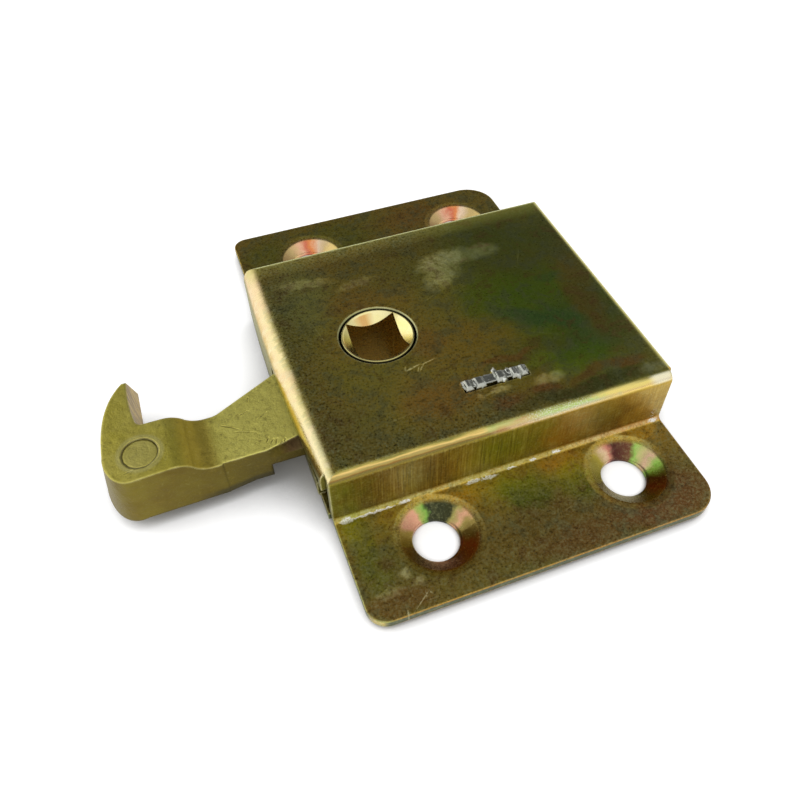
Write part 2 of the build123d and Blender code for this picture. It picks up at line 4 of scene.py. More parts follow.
import bmesh
import bpy
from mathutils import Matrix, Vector


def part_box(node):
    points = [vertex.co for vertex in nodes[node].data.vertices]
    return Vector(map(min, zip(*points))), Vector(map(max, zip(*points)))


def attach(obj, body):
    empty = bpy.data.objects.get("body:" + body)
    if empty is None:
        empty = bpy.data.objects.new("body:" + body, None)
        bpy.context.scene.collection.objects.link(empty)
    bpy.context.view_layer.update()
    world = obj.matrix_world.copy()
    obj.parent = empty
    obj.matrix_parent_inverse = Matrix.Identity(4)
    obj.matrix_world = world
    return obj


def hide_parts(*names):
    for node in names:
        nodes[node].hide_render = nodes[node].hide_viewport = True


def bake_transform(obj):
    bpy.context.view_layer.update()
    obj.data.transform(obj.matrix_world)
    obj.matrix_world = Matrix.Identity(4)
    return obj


# Looks of the car boot lock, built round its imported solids.
#
# Metres. The origin lies on the follower's axis, in the plane of the mounting face.
# +Z points to the top of the case and -X towards the hook. The lock lies on the
# dimples of its four screw seats, so its mounting face is a little above the floor.
# Places in the materials are in millimetres.

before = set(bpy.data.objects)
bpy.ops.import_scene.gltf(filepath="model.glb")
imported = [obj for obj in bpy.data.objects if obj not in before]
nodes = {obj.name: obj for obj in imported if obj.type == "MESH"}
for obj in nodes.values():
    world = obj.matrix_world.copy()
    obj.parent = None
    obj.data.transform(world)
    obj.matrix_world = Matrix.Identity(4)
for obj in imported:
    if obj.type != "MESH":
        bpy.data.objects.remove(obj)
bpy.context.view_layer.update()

MM = 0.001

# Camera of the photograph
CAMERA_PLACE = (-0.025107, -0.080607, 0.095021)
CAMERA_TILT = 0.70091
CAMERA_ROLL = 0.01446
CAMERA_TURN = -0.36389
CAMERA_LENS = 34.03
SENSOR = 36.0
CAMERA_CLIP = (0.005, 10.0)

# Sky: its general level, and patches of another level as (direction, wide and narrow
# half angle in degrees, level). A later patch lies over an earlier one.
SKY_LEVEL = 0.64
SKY_PATCHES = (
    ((0.1, -0.6, 0.8), 60, 25, 1.0),
    ((-0.8, 0.5, 0.2), 50, 25, 1.28),
    ((0.2, 0.68, 0.72), 42, 20, 0.08),
)
WHITE = (1.0, 1.0, 1.0, 1.0)
WHITE_LEVEL = 1.0

# Floor: half its side, its colour and its glow, how far it looks for shade, and the
# shares of open sky between which the glow sets in
FLOOR_HALF = 3.0
FLOOR_COLOUR = (0.65, 0.65, 0.65, 1.0)
FLOOR_GLOW = 0.78
SHADE_REACH = 0.016
SHADE_ENDS = (0.35, 0.75)
SHADE_SAMPLES = 16

# Height of the floor in metres and of the case's top in millimetres, read from the solids
case_low, case_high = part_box("case")
FLOOR_Z = case_low.z
TOP_Z = case_high.z / MM

# Places on the lock in millimetres, as in its solids
FLANGE_Z = 1.25
SEAT_CENTRE = (13.35, 1.5)
SEAT_HALF_SPACING = (15.3, 32.65)
SEAT_R = 6.3
PIN_PLACE = (-38.35, -9.5)
PIN_R = 2.5
FOLLOWER_R = 5.88
MOUTH_R = 6.3
MOUTH_GAP_R = 6.1
LEFT_BEND_X = -13.6
RIGHT_BEND_X = 38.0
FRONT_BEND_Y = -22.4
REAR_BEND_Y = 22.0
SOCKET_HALF = 4.0
ARM_STEP_X = -30.8

# How far the darker band along the bends reaches over the top, in millimetres, and where on the
# follower's cone the warm tinge lies, in radians
BEND_BAND_REACH = 6.0
CONE_TINGE_AT = 1.75

# Rounding of the edges and depth of the fine relief, in metres
BEVEL_SAMPLES = 6
SHEET_EDGE_R = 0.00035
BRASS_EDGE_R = 0.0005
TURNED_EDGE_R = 0.00015
SHEET_RELIEF = 0.000025
BRASS_RELIEF = 0.00008
TURNED_RELIEF = 0.00003
STEEL_RELIEF = 0.00003
BLUED_RELIEF = 0.00001

# Colours of the yellow passivation, as sRGB numbers of 0 to 255
OLIVE = (158, 148, 72)
BROWN = (176, 144, 66)
GREEN = (116, 138, 50)
TEAL = (92, 122, 82)
LIME = (154, 164, 58)
RUST = (164, 102, 64)
GOLD = (200, 172, 84)
PALE = (196, 196, 158)
DUSK = (108, 114, 76)
DEEP = (112, 116, 62)
MOSS = (126, 138, 46)
# Worn edges with a painted highlight
WORN_EDGE_HIGHLIGHT = (232, 226, 176)
SAGE = (156, 160, 108)
# Dark olive of the band along the top's front edge
DARK_OLIVE = (78, 78, 46)
# Edge colours: wear with a painted highlight
EDGE_GOLD = (232, 168, 88)
EDGE_GREEN = (206, 220, 140)
PATCH_SAGE = (138, 146, 104)
PATCH_RUST = (150, 108, 66)
FRECKLE = (240, 242, 226)
# Painted shade on the flange's cut edge
CUT_EDGE_SHADE = (76, 84, 58)
# Painted reflection on the front foot
FOOT_REFLECTION_YELLOW = (196, 176, 84)
FOOT_REFLECTION_ROSE = (222, 168, 108)
# Painted highlight along the rear bend
REAR_HIGHLIGHT_LIME = (196, 196, 78)
MOTTLE_PALE = (204, 204, 134)
MOTTLE_DARK = (92, 82, 40)
FINE_PALE = (206, 208, 150)
FINE_DARK = (74, 70, 38)
GRAIN_PALE = (220, 220, 176)
GRAIN_DARK = (64, 60, 32)
# Painted highlight on the socket's mouth, and painted shade in its gap
MOUTH_EDGE_HIGHLIGHT = (164, 166, 116)
MOUTH_GAP_SHADE = (34, 32, 20)
# Painted glints on the front foot
GLINT_WHITE = (252, 252, 246)
BARE_METAL = (186, 188, 178)

# Factors that lift the sheet's colour, partly its own tone and partly painted light: at the top's left
# and right, and on the flanges
LEFT_LIFT = (2.15, 2.1, 1.35, 1.0)
RIGHT_LIFT = (1.2, 1.45, 0.85, 1.0)
LOW_LIFT = (1.8, 1.65, 1.05, 1.0)

# Colours of the bends: the plating's own tints with painted highlights and reflections
BEND_PINK = (222, 168, 120)
BEND_HIGHLIGHT_WHITE = (244, 242, 220)
BEND_ROSE = (224, 190, 150)
BEND_CREAM = (232, 226, 184)
BEND_GLEAM = (244, 238, 208)
BEND_WARM = (226, 190, 152)
BEND_RIGHT = (186, 178, 92)
BEND_REAR = (172, 174, 92)

# Colours of the walls; the gold one is a painted highlight on their upper part, the low one painted
# shade towards their foot
WALL_BROWN = (122, 100, 40)
WALL_HIGHLIGHT_GOLD = (198, 164, 66)
WALL_DARK_LINE = (76, 70, 30)
WALL_PALE_LINE = (200, 188, 110)
WALL_LOW_SHADE = (104, 86, 40)

# Colours of the cast brass; a pair is mixed in patches
# Tops and sides: partly painted light and shade
BRASS_TOP = ((202, 190, 78), (214, 202, 98))
BRASS_SIDE = ((108, 92, 36), (124, 112, 44))
BRASS_JAW = ((116, 88, 28), (182, 152, 66))
BRASS_ARM_TOP = (252, 244, 132)
BRASS_ARM_SIDE = (92, 80, 32)
# Painted shade on the slope at the arm's step
BRASS_STEP_SHADE = (176, 146, 48)
BRASS_SKIN = (130, 112, 46)
BRASS_PALE = (214, 206, 130)
BRASS_SAND_PALE = (226, 218, 140)
BRASS_SAND_DARK = (84, 76, 36)
BRASS_BEVEL = (92, 66, 52)
# Painted shade along the lower edge of the arm's front
BRASS_UNDER_SHADE = (70, 66, 44)
BRASS_NICK = (74, 62, 28)
# Worn edges with a painted highlight
BRASS_WEAR_AND_HIGHLIGHT = (232, 224, 152)
# Painted highlight round the pin, and painted shade in its groove
PIN_RING_HIGHLIGHT = (228, 222, 154)
PIN_DISC = (224, 216, 140)
PIN_GROOVE_SHADE = (64, 52, 26)

# Colours of the follower and of the steels; a pair is mixed in patches
TURNED = ((244, 230, 152), (248, 238, 180))
SOCKET_WALL = ((206, 178, 90), (220, 182, 100))
SOCKET_DARK = (104, 88, 50)
CONE_TINGE = (206, 146, 76)
CONE_SHADOW = (150, 146, 70)
# Painted highlight on the follower's rim, and painted shade in the gap round it
FOLLOWER_RIM_HIGHLIGHT = (186, 176, 110)
FOLLOWER_GAP_SHADE = (44, 40, 22)
STEEL = ((150, 154, 144), (232, 234, 226))
STEEL_HOLLOW = (96, 94, 80)
BLUED = ((74, 80, 104), (98, 94, 112))
BLUED_LINE = (132, 130, 134)

# Colours round a screw seat, as (share of the turn from -X, colour): the plating's own tints with
# painted highlights and painted dark reflections
SEAT_FRONT_LEFT = (
    (0.0, (150, 112, 60)), (0.09, (140, 108, 46)), (0.2, (150, 96, 42)),
    (0.32, (146, 84, 40)), (0.41, (140, 68, 38)), (0.47, (112, 92, 44)),
    (0.53, (150, 132, 70)), (0.57, (226, 170, 134)), (0.61, (180, 170, 96)),
    (0.635, (56, 58, 36)), (0.74, (52, 56, 38)), (0.765, (130, 172, 76)),
    (0.795, (166, 176, 90)), (0.82, (226, 166, 134)), (0.89, (216, 156, 124)),
    (0.93, (166, 140, 66)),
)
SEAT_FRONT_RIGHT = (
    (0.0, (132, 112, 50)), (0.15, (118, 102, 46)), (0.28, (106, 92, 40)),
    (0.36, (126, 62, 36)), (0.42, (88, 56, 32)), (0.455, (112, 136, 56)),
    (0.49, (140, 186, 78)), (0.54, (226, 186, 152)), (0.585, (206, 196, 130)),
    (0.62, (150, 190, 90)), (0.655, (110, 70, 50)), (0.74, (78, 40, 38)),
    (0.78, (200, 130, 110)), (0.81, (230, 196, 156)), (0.85, (190, 170, 66)),
    (0.9, (166, 150, 62)),
)
SEAT_REAR = (
    (0.0, (150, 110, 60)), (0.5, (196, 170, 100)), (0.6, (226, 196, 130)),
    (0.66, (236, 206, 176)), (0.7, (226, 140, 84)), (0.74, (206, 112, 84)),
    (0.79, (232, 178, 146)), (0.86, (220, 190, 130)), (1.0, (150, 110, 60)),
)

# Colours up a bend, as (share of the way from the wall to the top, colour): the plating's own tints with
# painted highlights and reflections
BEND_FRONT_LEFT = (
    (0.0, (124, 112, 48)), (0.25, (130, 116, 58)), (0.42, (134, 118, 66)),
    (0.5, (156, 116, 58)), (0.58, (176, 154, 86)), (0.7, (180, 160, 94)),
    (0.82, (244, 208, 128)), (0.92, (190, 172, 92)), (1.0, (140, 134, 70)),
)
BEND_FRONT_MIDDLE = (
    (0.0, (180, 150, 90)), (0.2, (226, 198, 140)), (0.4, (214, 206, 152)),
    (0.55, (204, 206, 154)), (0.7, (186, 206, 124)), (0.82, (190, 204, 128)),
    (0.93, (154, 156, 80)), (1.0, (128, 128, 62)),
)
BEND_FRONT_RIGHT = (
    (0.0, (214, 176, 88)), (0.25, (244, 216, 120)), (0.5, (238, 206, 132)),
    (0.7, (238, 216, 126)), (0.84, (232, 212, 124)), (0.94, (200, 186, 112)),
    (1.0, (156, 142, 78)),
)
BEND_LEFT = (
    (0.15, (168, 142, 66)), (0.4, (206, 176, 104)), (0.62, (232, 212, 160)),
    (0.8, (230, 214, 158)), (0.95, (170, 160, 96)),
)

# Colours along a wall, as (share of the way between its ends, colour)
WALL_ENDS = (-15.0, 38.0)
WALL_SHADES = (
    (0.02, (126, 124, 38)), (0.11, (128, 104, 36)), (0.21, (158, 138, 58)),
    (0.3, (138, 116, 50)), (0.4, (150, 138, 42)), (0.49, (146, 142, 26)),
    (0.585, (128, 118, 28)), (0.68, (162, 118, 38)), (0.77, (146, 122, 38)),
    (0.87, (126, 92, 26)), (0.96, (172, 140, 58)),
)

# Clouds on the plated sheet: centre, half sizes, turn in degrees, colour, strength
CLOUDS = (
    ((9.0, 15.0), (16.0, 6.0), 0, DEEP, 0.45),
    ((28.0, 11.0), (11.0, 9.0), 10, DEEP, 0.75),
    ((20.5, 1.0), (6.0, 5.5), 20, MOSS, 0.8),
    ((28.5, -4.0), (10.5, 9.0), -15, GREEN, 0.85),
    ((33.0, -10.0), (6.0, 8.0), 0, DEEP, 0.6),
    ((23.0, -5.0), (4.2, 2.0), -25, TEAL, 0.8),
    ((28.8, -6.6), (4.0, 2.6), -40, TEAL, 0.7),
    ((30.5, -13.0), (4.5, 2.6), 0, TEAL, 0.55),
    ((31.2, 3.0), (1.8, 1.2), 0, TEAL, 0.5),
    ((13.0, -7.0), (8.0, 4.5), 0, BROWN, 0.8),
    ((21.5, -13.0), (7.0, 3.5), 0, DEEP, 0.6),
    ((27.5, -15.2), (5.0, 2.2), 0, GREEN, 0.8),
    ((21.5, -14.0), (2.6, 1.4), 0, LIME, 0.5),
    ((24.5, -17.0), (2.8, 1.1), 0, LIME, 0.6),
    ((34.5, -3.0), (2.6, 9.0), -8, RUST, 0.45),
    ((33.5, -18.8), (2.4, 1.3), 0, RUST, 0.8),
    ((17.2, -11.6), (4.5, 0.8), 5, RUST, 0.6),
    ((28.0, -18.6), (4.5, 0.8), 8, RUST, 0.6),
    ((19.4, -19.3), (2.4, 1.2), 0, RUST, 0.85),
    ((13.2, -19.4), (2.6, 1.5), 0, RUST, 0.8),
    ((4.5, -15.5), (6.0, 3.0), 0, RUST, 0.35),
    ((-1.0, 8.5), (5.0, 2.5), 0, RUST, 0.25),
    ((6.5, -4.5), (2.5, 3.0), 0, RUST, 0.35),
    ((-9.0, 13.0), (4.5, 8.0), 0, SAGE, 0.55),
    ((-10.0, -17.0), (5.0, 5.0), 0, DUSK, 0.4),
    # A darker band along the top's front edge
    ((26.0, -21.2), (12.0, 1.3), 0, DARK_OLIVE, 0.7),
    ((20.5, 3.5), (4.5, 2.0), 15, MOSS, 0.5),
    ((13.0, -29.2), (6.0, 2.8), 0, GREEN, 0.8),
    ((20.5, -30.0), (3.0, 3.5), 0, LIME, 0.8),
    ((7.5, -31.5), (2.0, 3.4), -15, GOLD, 0.6),
    ((10.0, -36.5), (12.0, 3.0), 0, BROWN, 0.7),
    ((31.0, -37.0), (7.0, 4.5), 0, RUST, 0.7),
    ((19.0, -38.5), (9.0, 2.5), 0, RUST, 0.4),
    ((-12.5, -29.0), (2.0, 7.0), 0, LIME, 0.7),
    ((-10.5, -39.0), (5.0, 2.0), 0, RUST, 0.45),
    ((3.0, 37.0), (7.0, 6.0), 0, MOSS, 0.65),
    ((21.0, 39.0), (5.0, 3.0), 0, RUST, 0.35),
    ((-10.0, 36.0), (5.0, 6.0), 0, GREEN, 0.55),
)

# Pale deposits: centre, half sizes, turn in degrees, strength
SMEARS = (
    ((16.6, 13.0), (4.6, 2.2), 10, 0.6),
    ((14.8, 9.4), (3.6, 2.2), 30, 0.5),
    ((23.0, 13.0), (3.4, 1.8), 0, 0.35),
    ((20.9, -17.7), (2.4, 0.9), 5, 0.45),
    ((36.4, -21.2), (2.2, 0.9), 0, 0.3),
    ((-7.5, 15.6), (4.6, 1.1), -8, 0.3),
    ((0.5, 12.7), (3.4, 1.0), 10, 0.25),
    ((-8.7, -35.1), (0.9, 0.7), 30, 0.6),
    ((-7.2, -36.9), (1.1, 0.6), 40, 0.45),
    ((-11.7, -37.2), (2.2, 0.6), 0, 0.3),
    ((13.0, -17.2), (1.6, 0.5), 0, 0.5),
    ((10.2, -17.2), (1.0, 0.3), 0, 0.4),
)

# Single soft spots on the bends: centre, half sizes, and for most the turn in degrees and
# the strength. The corner spot and the left gleam are painted highlights.
PINK_PLACE = ((13.0, -24.2), (3.5, 1.6), 0, 0.6)
CORNER_HIGHLIGHT_PLACE = ((36.8, -23.0), (1.8, 1.4), 0, 0.7)
LEFT_GLEAM_PLACE = ((-15.0, -17.0), (3.0, 4.0), 0, 0.2)
FRECKLES_PLACE = ((19.5, -23.4), (5.5, 1.8))

# Painted glints along the front foot: centre, half sizes, turn in degrees
FOOT_GLINTS = (
    ((-13.6, -24.6), (1.0, 0.4), 0),
    ((-9.5, -24.6), (3.6, 0.16), 0),
    ((-4.6, -24.5), (0.9, 0.2), 0),
    ((6.0, -24.8), (1.2, 0.3), 3),
    ((8.6, -24.9), (1.4, 0.34), 0),
    ((12.4, -24.5), (0.8, 0.16), 0),
    ((16.2, -24.4), (0.6, 0.16), 0),
    ((20.1, -24.3), (0.7, 0.18), 0),
    ((37.1, -24.2), (0.7, 0.24), 0),
)

# Fine scratches and nicks: centre, half length and width, turn in degrees, strength
SCRATCHES = (
    ((2.6, -8.6), (1.3, 0.14), 15, 0.8),
    ((4.0, -8.9), (0.9, 0.12), 50, 0.75),
    ((5.3, -8.2), (1.2, 0.09), 12, 0.7),
    ((3.3, -9.2), (0.6, 0.1), 60, 0.6),
    ((1.5, -8.4), (0.5, 0.12), 70, 0.5),
    ((-7.9, -39.7), (2.1, 0.05), 37, 0.9),
    ((-7.1, -39.2), (0.9, 0.05), 79, 0.8),
    ((-6.7, -39.9), (0.7, 0.05), 0, 0.7),
    ((-6.4, -38.9), (0.5, 0.05), -60, 0.7),
    ((-10.3, -40.8), (0.5, 0.12), 80, 1.0),
    ((-8.6, 3.6), (2.4, 0.05), 100, 0.35),
    ((12.0, 5.5), (3.0, 0.05), 25, 0.3),
    ((24.5, -9.0), (2.2, 0.05), -30, 0.3),
    ((-2.0, -17.0), (2.8, 0.05), 8, 0.35),
    ((29.0, 9.5), (1.8, 0.05), 60, 0.3),
    ((18.0, -33.5), (2.4, 0.05), 20, 0.3),
)

# Nicks and casting marks on the hook: centre, half length and width, turn in degrees
NICKS = (
    ((-21.0, -11.6), (0.5, 0.12), 60),
    ((-20.4, -12.0), (0.45, 0.12), 50),
    ((-19.8, -12.2), (0.5, 0.14), 65),
    ((-19.2, -12.7), (0.4, 0.1), 40),
    ((-18.6, -12.4), (0.35, 0.12), 70),
    ((-25.6, -7.4), (1.3, 0.1), -35),
    ((-23.9, -8.9), (1.2, 0.08), -20),
    ((-23.2, -5.4), (0.9, 0.08), 15),
    ((-20.6, -6.8), (0.8, 0.08), 30),
    ((-22.0, -3.0), (0.5, 0.1), 75),
    ((-40.2, -12.2), (0.6, 0.1), 10),
)

# Lumps of the staked lug: centre, half sizes and top, in millimetres
NUGGETS = (
    ((8.65, -15.0), (0.66, 1.25), 11.58),
    ((10.1, -14.8), (0.55, 0.95), 11.5),
    ((10.95, -15.0), (0.75, 1.15), 11.66),
    ((12.4, -14.6), (1.05, 0.95), 11.34),
    ((13.7, -14.35), (0.6, 1.5), 11.62),
    ((14.45, -15.0), (0.7, 1.45), 11.68),
    ((15.65, -14.4), (0.6, 0.95), 11.5),
    ((16.75, -15.0), (0.7, 1.4), 11.67),
    ((18.0, -14.85), (0.62, 1.2), 11.6),
)

# A lump's levels as (share of its height, share of its width), its corners at each, how
# far these wander out and up, and how deep its foot is sunk
NUGGET_LEVELS = ((0.0, 1.0), (0.5, 0.96), (0.95, 0.62))
NUGGET_CORNERS = 6
NUGGET_REACH = (0.78, 1.06)
NUGGET_HEIGHT = (0.55, 1.0)
NUGGET_SINK = 0.03
NUGGET_SEED = 7

# Leaf spring in millimetres: thickness, lower and upper edge, its course, and the share
# of its height that it keeps in its last rings, from the tip on
LEAF_THICKNESS = 0.4
LEAF_Z = (4.5, 7.7)
LEAF_CHAMFER = 0.06
LEAF_START_X = 15.9
LEAF_BEND = (7.1, -15.7)
LEAF_TOUCH = (-10.0, -13.65)
LEAF_TIP_X = -13.2
LEAF_EASE = 1.4
LEAF_CURL = 0.068
LEAF_TIP_SHARES = (0.72, 0.88, 0.97)
LEAF_END_STEPS = 8
LEAF_MIDDLE_STEPS = 40


def make_camera():
    """Camera at the photograph's viewing angle."""
    data = bpy.data.cameras.new("camera")
    data.lens = CAMERA_LENS
    data.sensor_width = SENSOR
    data.clip_start, data.clip_end = CAMERA_CLIP
    camera = bpy.data.objects.new("camera", data)
    camera.rotation_mode = "YXZ"
    camera.rotation_euler = (CAMERA_TILT, CAMERA_ROLL, CAMERA_TURN)
    camera.location = CAMERA_PLACE
    bpy.context.scene.collection.objects.link(camera)
    bpy.context.scene.camera = camera


def colour(red, green, blue):
    """Linear colour from sRGB numbers of 0 to 255."""
    parts = []
    for part in (red, green, blue):
        share = part / 255
        parts.append(share / 12.92 if share <= 0.04045 else ((share + 0.055) / 1.055) ** 2.4)
    return (*parts, 1.0)


class Nodes:
    """Short way to write a material's node tree. Colours given to it are sRGB numbers of 0 to 255."""

    def __init__(self, tree):
        self.tree = tree

    def add(self, kind, **settings):
        """New node with its settings."""
        node = self.tree.nodes.new(kind)
        for name, value in settings.items():
            setattr(node, name, value)
        return node

    def link(self, source, target):
        """Joins an output to an input."""
        self.tree.links.new(source, target)

    def put(self, socket, value):
        """Sets a socket, or joins another socket to it."""
        if isinstance(value, bpy.types.NodeSocket):
            self.link(value, socket)
        else:
            socket.default_value = value

    def math(self, operation, first, second=0.0, third=0.0, clamp=False):
        """Math node's result."""
        node = self.add("ShaderNodeMath", operation=operation, use_clamp=clamp)
        for socket, value in zip(node.inputs, (first, second, third)):
            self.put(socket, value)
        return node.outputs[0]

    def fold(self, operation, values):
        """Values joined one after another by the same operation."""
        joined, *others = values
        for value in others:
            joined = self.math(operation, joined, value)
        return joined

    def times(self, *values):
        """Product of several values."""
        return self.fold("MULTIPLY", values)

    def plus(self, *values):
        """Sum of several values."""
        return self.fold("ADD", values)

    def most(self, *values):
        """Largest of several values."""
        return self.fold("MAXIMUM", values)

    def rest(self, value):
        """What a value leaves of 1."""
        return self.math("SUBTRACT", 1.0, value)

    def unsigned(self, value):
        """Value without its sign."""
        return self.math("ABSOLUTE", value)

    def sway(self, noise, amount):
        """Noise value as a shift to either side of 0."""
        return self.times(self.math("SUBTRACT", noise, 0.5), amount)

    def vector_math(self, operation, first, second=None, scale=None):
        """Vector math node's result."""
        node = self.add("ShaderNodeVectorMath", operation=operation)
        self.put(node.inputs[0], first)
        if second is not None:
            self.put(node.inputs[1], second)
        if scale is not None:
            self.put(node.inputs["Scale"], scale)
        return node.outputs["Value" if operation == "DOT_PRODUCT" else "Vector"]

    def mix(self, factor, first, second, blend="MIX"):
        """Mixed colour."""
        node = self.add("ShaderNodeMix", data_type="RGBA", blend_type=blend)
        for index, value in ((0, factor), (6, first), (7, second)):
            self.put(node.inputs[index], value)
        return node.outputs[2]

    def level(self, factor, first, second):
        """Mixed number."""
        node = self.add("ShaderNodeMix", data_type="FLOAT")
        for index, value in ((0, factor), (2, first), (3, second)):
            self.put(node.inputs[index], value)
        return node.outputs[0]

    def tint(self, shade, amount, over):
        """Colour with a share of another one laid over it."""
        return self.mix(amount, shade, colour(*over))

    def between(self, amount, first, second):
        """Colour between two others."""
        return self.mix(amount, colour(*first), colour(*second))

    def lift(self, shade, amount, factors):
        """Colour with a share of it multiplied by factors."""
        return self.mix(amount, shade, self.mix(1.0, shade, factors, "MULTIPLY"))

    def noise(self, where, scale, detail=3.0, roughness=0.5, output="Fac"):
        """Noise value, with scale in waves per unit of the place."""
        node = self.add("ShaderNodeTexNoise")
        names = ("Vector", "Scale", "Detail", "Roughness")
        for name, value in zip(names, (where, scale, detail, roughness)):
            self.put(node.inputs[name], value)
        return node.outputs[output]

    def ramp(self, value, low, high, bottom=0.0, top=1.0, smooth=False):
        """Value mapped from low..high to bottom..top, and held there."""
        kind = "SMOOTHSTEP" if smooth else "LINEAR"
        node = self.add("ShaderNodeMapRange", clamp=True, interpolation_type=kind)
        names = ("Value", "From Min", "From Max", "To Min", "To Max")
        for name, number in zip(names, (value, low, high, bottom, top)):
            self.put(node.inputs[name], number)
        return node.outputs["Result"]

    def band(self, value, middle, near, far, top=1.0, bottom=0.0, smooth=False):
        """Top where a value lies near the middle, bottom where it lies far from it."""
        off = self.unsigned(self.math("SUBTRACT", value, middle))
        return self.ramp(off, near, far, top, bottom, smooth)

    def place(self):
        """Place on the lock, in millimetres."""
        source = self.add("ShaderNodeTexCoord").outputs["Object"]
        return self.vector_math("SCALE", source, scale=1 / MM)

    def normal(self):
        """X, Y and Z of the surface's direction."""
        return self.axes(self.add("ShaderNodeTexCoord").outputs["Normal"])

    def axes(self, vector):
        """X, Y and Z of a vector."""
        node = self.add("ShaderNodeSeparateXYZ")
        self.link(vector, node.inputs[0])
        return node.outputs

    def stretch(self, where, x, y, z):
        """Place stretched along each axis."""
        node = self.add("ShaderNodeMapping")
        self.link(where, node.inputs["Vector"])
        node.inputs["Scale"].default_value = (x, y, z)
        return node.outputs[0]

    def wander(self, where, amount, scale):
        """Place shifted about by slow noise, so that soft shapes lose their even outline."""
        shift = self.noise(where, scale, output="Color")
        shift = self.vector_math("SUBTRACT", shift, (0.5, 0.5, 0.5))
        shift = self.vector_math("SCALE", shift, scale=amount)
        return self.vector_math("ADD", where, shift)

    def blot(self, where, centre, size, turn=0.0, strength=1.0, soft=0.45):
        """Soft ellipse seen from above: its strength inside, 0 outside."""
        away = self.vector_math("SUBTRACT", where, (*centre, 0.0))
        angle = math.radians(turn)
        squares = 0.0
        for side, half in zip((angle, angle + math.pi / 2), size):
            across = (math.cos(side) / half, math.sin(side) / half, 0.0)
            share = self.vector_math("DOT_PRODUCT", away, across)
            squares = self.math("MULTIPLY_ADD", share, share, squares)
        reach = self.math("SQRT", squares)
        return self.ramp(reach, 1 - soft, 1 + soft, strength, 0.0, smooth=True)

    def blots(self, where, marks, soft=0.45):
        """Strongest of several soft ellipses at each place."""
        strongest = 0.0
        for mark in marks:
            strongest = self.most(strongest, self.blot(where, *mark, soft=soft))
        return strongest

    def radius(self, x, y, centre=(0.0, 0.0)):
        """Distance from a centre, seen from above."""
        off_x = self.math("SUBTRACT", x, centre[0])
        off_y = self.math("SUBTRACT", y, centre[1])
        return self.math("SQRT", self.plus(self.times(off_x, off_x), self.times(off_y, off_y)))

    def rounded(self, radius):
        """Normal that turns smoothly over an edge, as if it had this radius in metres."""
        node = self.add("ShaderNodeBevel", samples=BEVEL_SAMPLES)
        node.inputs["Radius"].default_value = radius
        return node.outputs[0]

    def edge(self, rounded):
        """How much a place lies on a rounded edge."""
        true_normal = self.add("ShaderNodeNewGeometry").outputs["Normal"]
        return self.ramp(self.vector_math("DOT_PRODUCT", rounded, true_normal), 0.995, 0.9)

    def colours(self, value, stops):
        """Colour ramp through (place, colour) stops."""
        node = self.add("ShaderNodeValToRGB")
        band = node.color_ramp
        while len(band.elements) < len(stops):
            band.elements.new(0.5)
        for element, (place, shade) in zip(band.elements, stops):
            element.position = place
            element.color = colour(*shade)
        self.put(node.inputs[0], value)
        return node.outputs["Color"]

    def bump(self, height, distance, normal=None):
        """Normal from a height, with distance in metres."""
        node = self.add("ShaderNodeBump")
        node.inputs["Distance"].default_value = distance
        self.link(height, node.inputs["Height"])
        if normal is not None:
            self.link(normal, node.inputs["Normal"])
        return node.outputs[0]


def new_material(name):
    """Empty material, its nodes and its shader."""
    material = bpy.data.materials.new(name)
    material.use_nodes = True
    tree = material.node_tree
    tree.nodes.clear()
    nodes_of = Nodes(tree)
    shader = nodes_of.add("ShaderNodeBsdfPrincipled")
    output = nodes_of.add("ShaderNodeOutputMaterial")
    nodes_of.link(shader.outputs[0], output.inputs[0])
    return material, nodes_of, shader


def join_shader(n, shader, shade, roughness, normal, metal=1.0):
    """Joins a material's colour, roughness, normal and share of bare metal to its shader."""
    n.link(shade, shader.inputs["Base Color"])
    n.put(shader.inputs["Metallic"], metal)
    n.link(roughness, shader.inputs["Roughness"])
    n.link(normal, shader.inputs["Normal"])


def sheet_clouds(n, where):
    """Slow changes of colour on the flat parts of the plated sheet."""
    slow = n.noise(where, 0.07)
    shade = n.between(n.ramp(slow, 0.35, 0.65), OLIVE, BROWN)
    drifting = n.wander(where, 4.0, 0.22)
    for centre, size, turn, tint, strength in CLOUDS:
        shade = n.tint(shade, n.blot(drifting, centre, size, turn, strength), tint)
    return shade


def flat_colours(n, where, on_top, on_flange, in_front, near_bend):
    """Colours of the top and of the flanges, lifted where the photograph is lighter; the lifts are
    partly the plating's own tone and partly painted light.
    """
    x, y, _ = n.axes(where)
    shade = sheet_clouds(n, where)
    shade = n.lift(shade, on_top, n.mix(n.ramp(x, 5.0, 27.0), LEFT_LIFT, RIGHT_LIFT))
    front_lift = n.most(n.ramp(y, -33.5, -26.5), n.ramp(x, 12.0, 0.0, 0.0, 0.4))
    lift = n.most(n.times(front_lift, in_front), n.ramp(y, 25.0, 27.0))
    # Painted light: the flanges lifted near the front wall and at the rear
    shade = n.lift(shade, n.times(lift, on_flange), LOW_LIFT)
    shade = n.tint(shade, n.times(near_bend, 0.4), DUSK)
    patches = n.noise(n.wander(where, 3.0, 0.35), 0.3, 5.0, 0.7)
    shade = n.tint(shade, n.ramp(patches, 0.5, 0.62, 0.0, 0.5), PATCH_SAGE)
    return n.tint(shade, n.ramp(patches, 0.46, 0.36, 0.0, 0.5), PATCH_RUST)


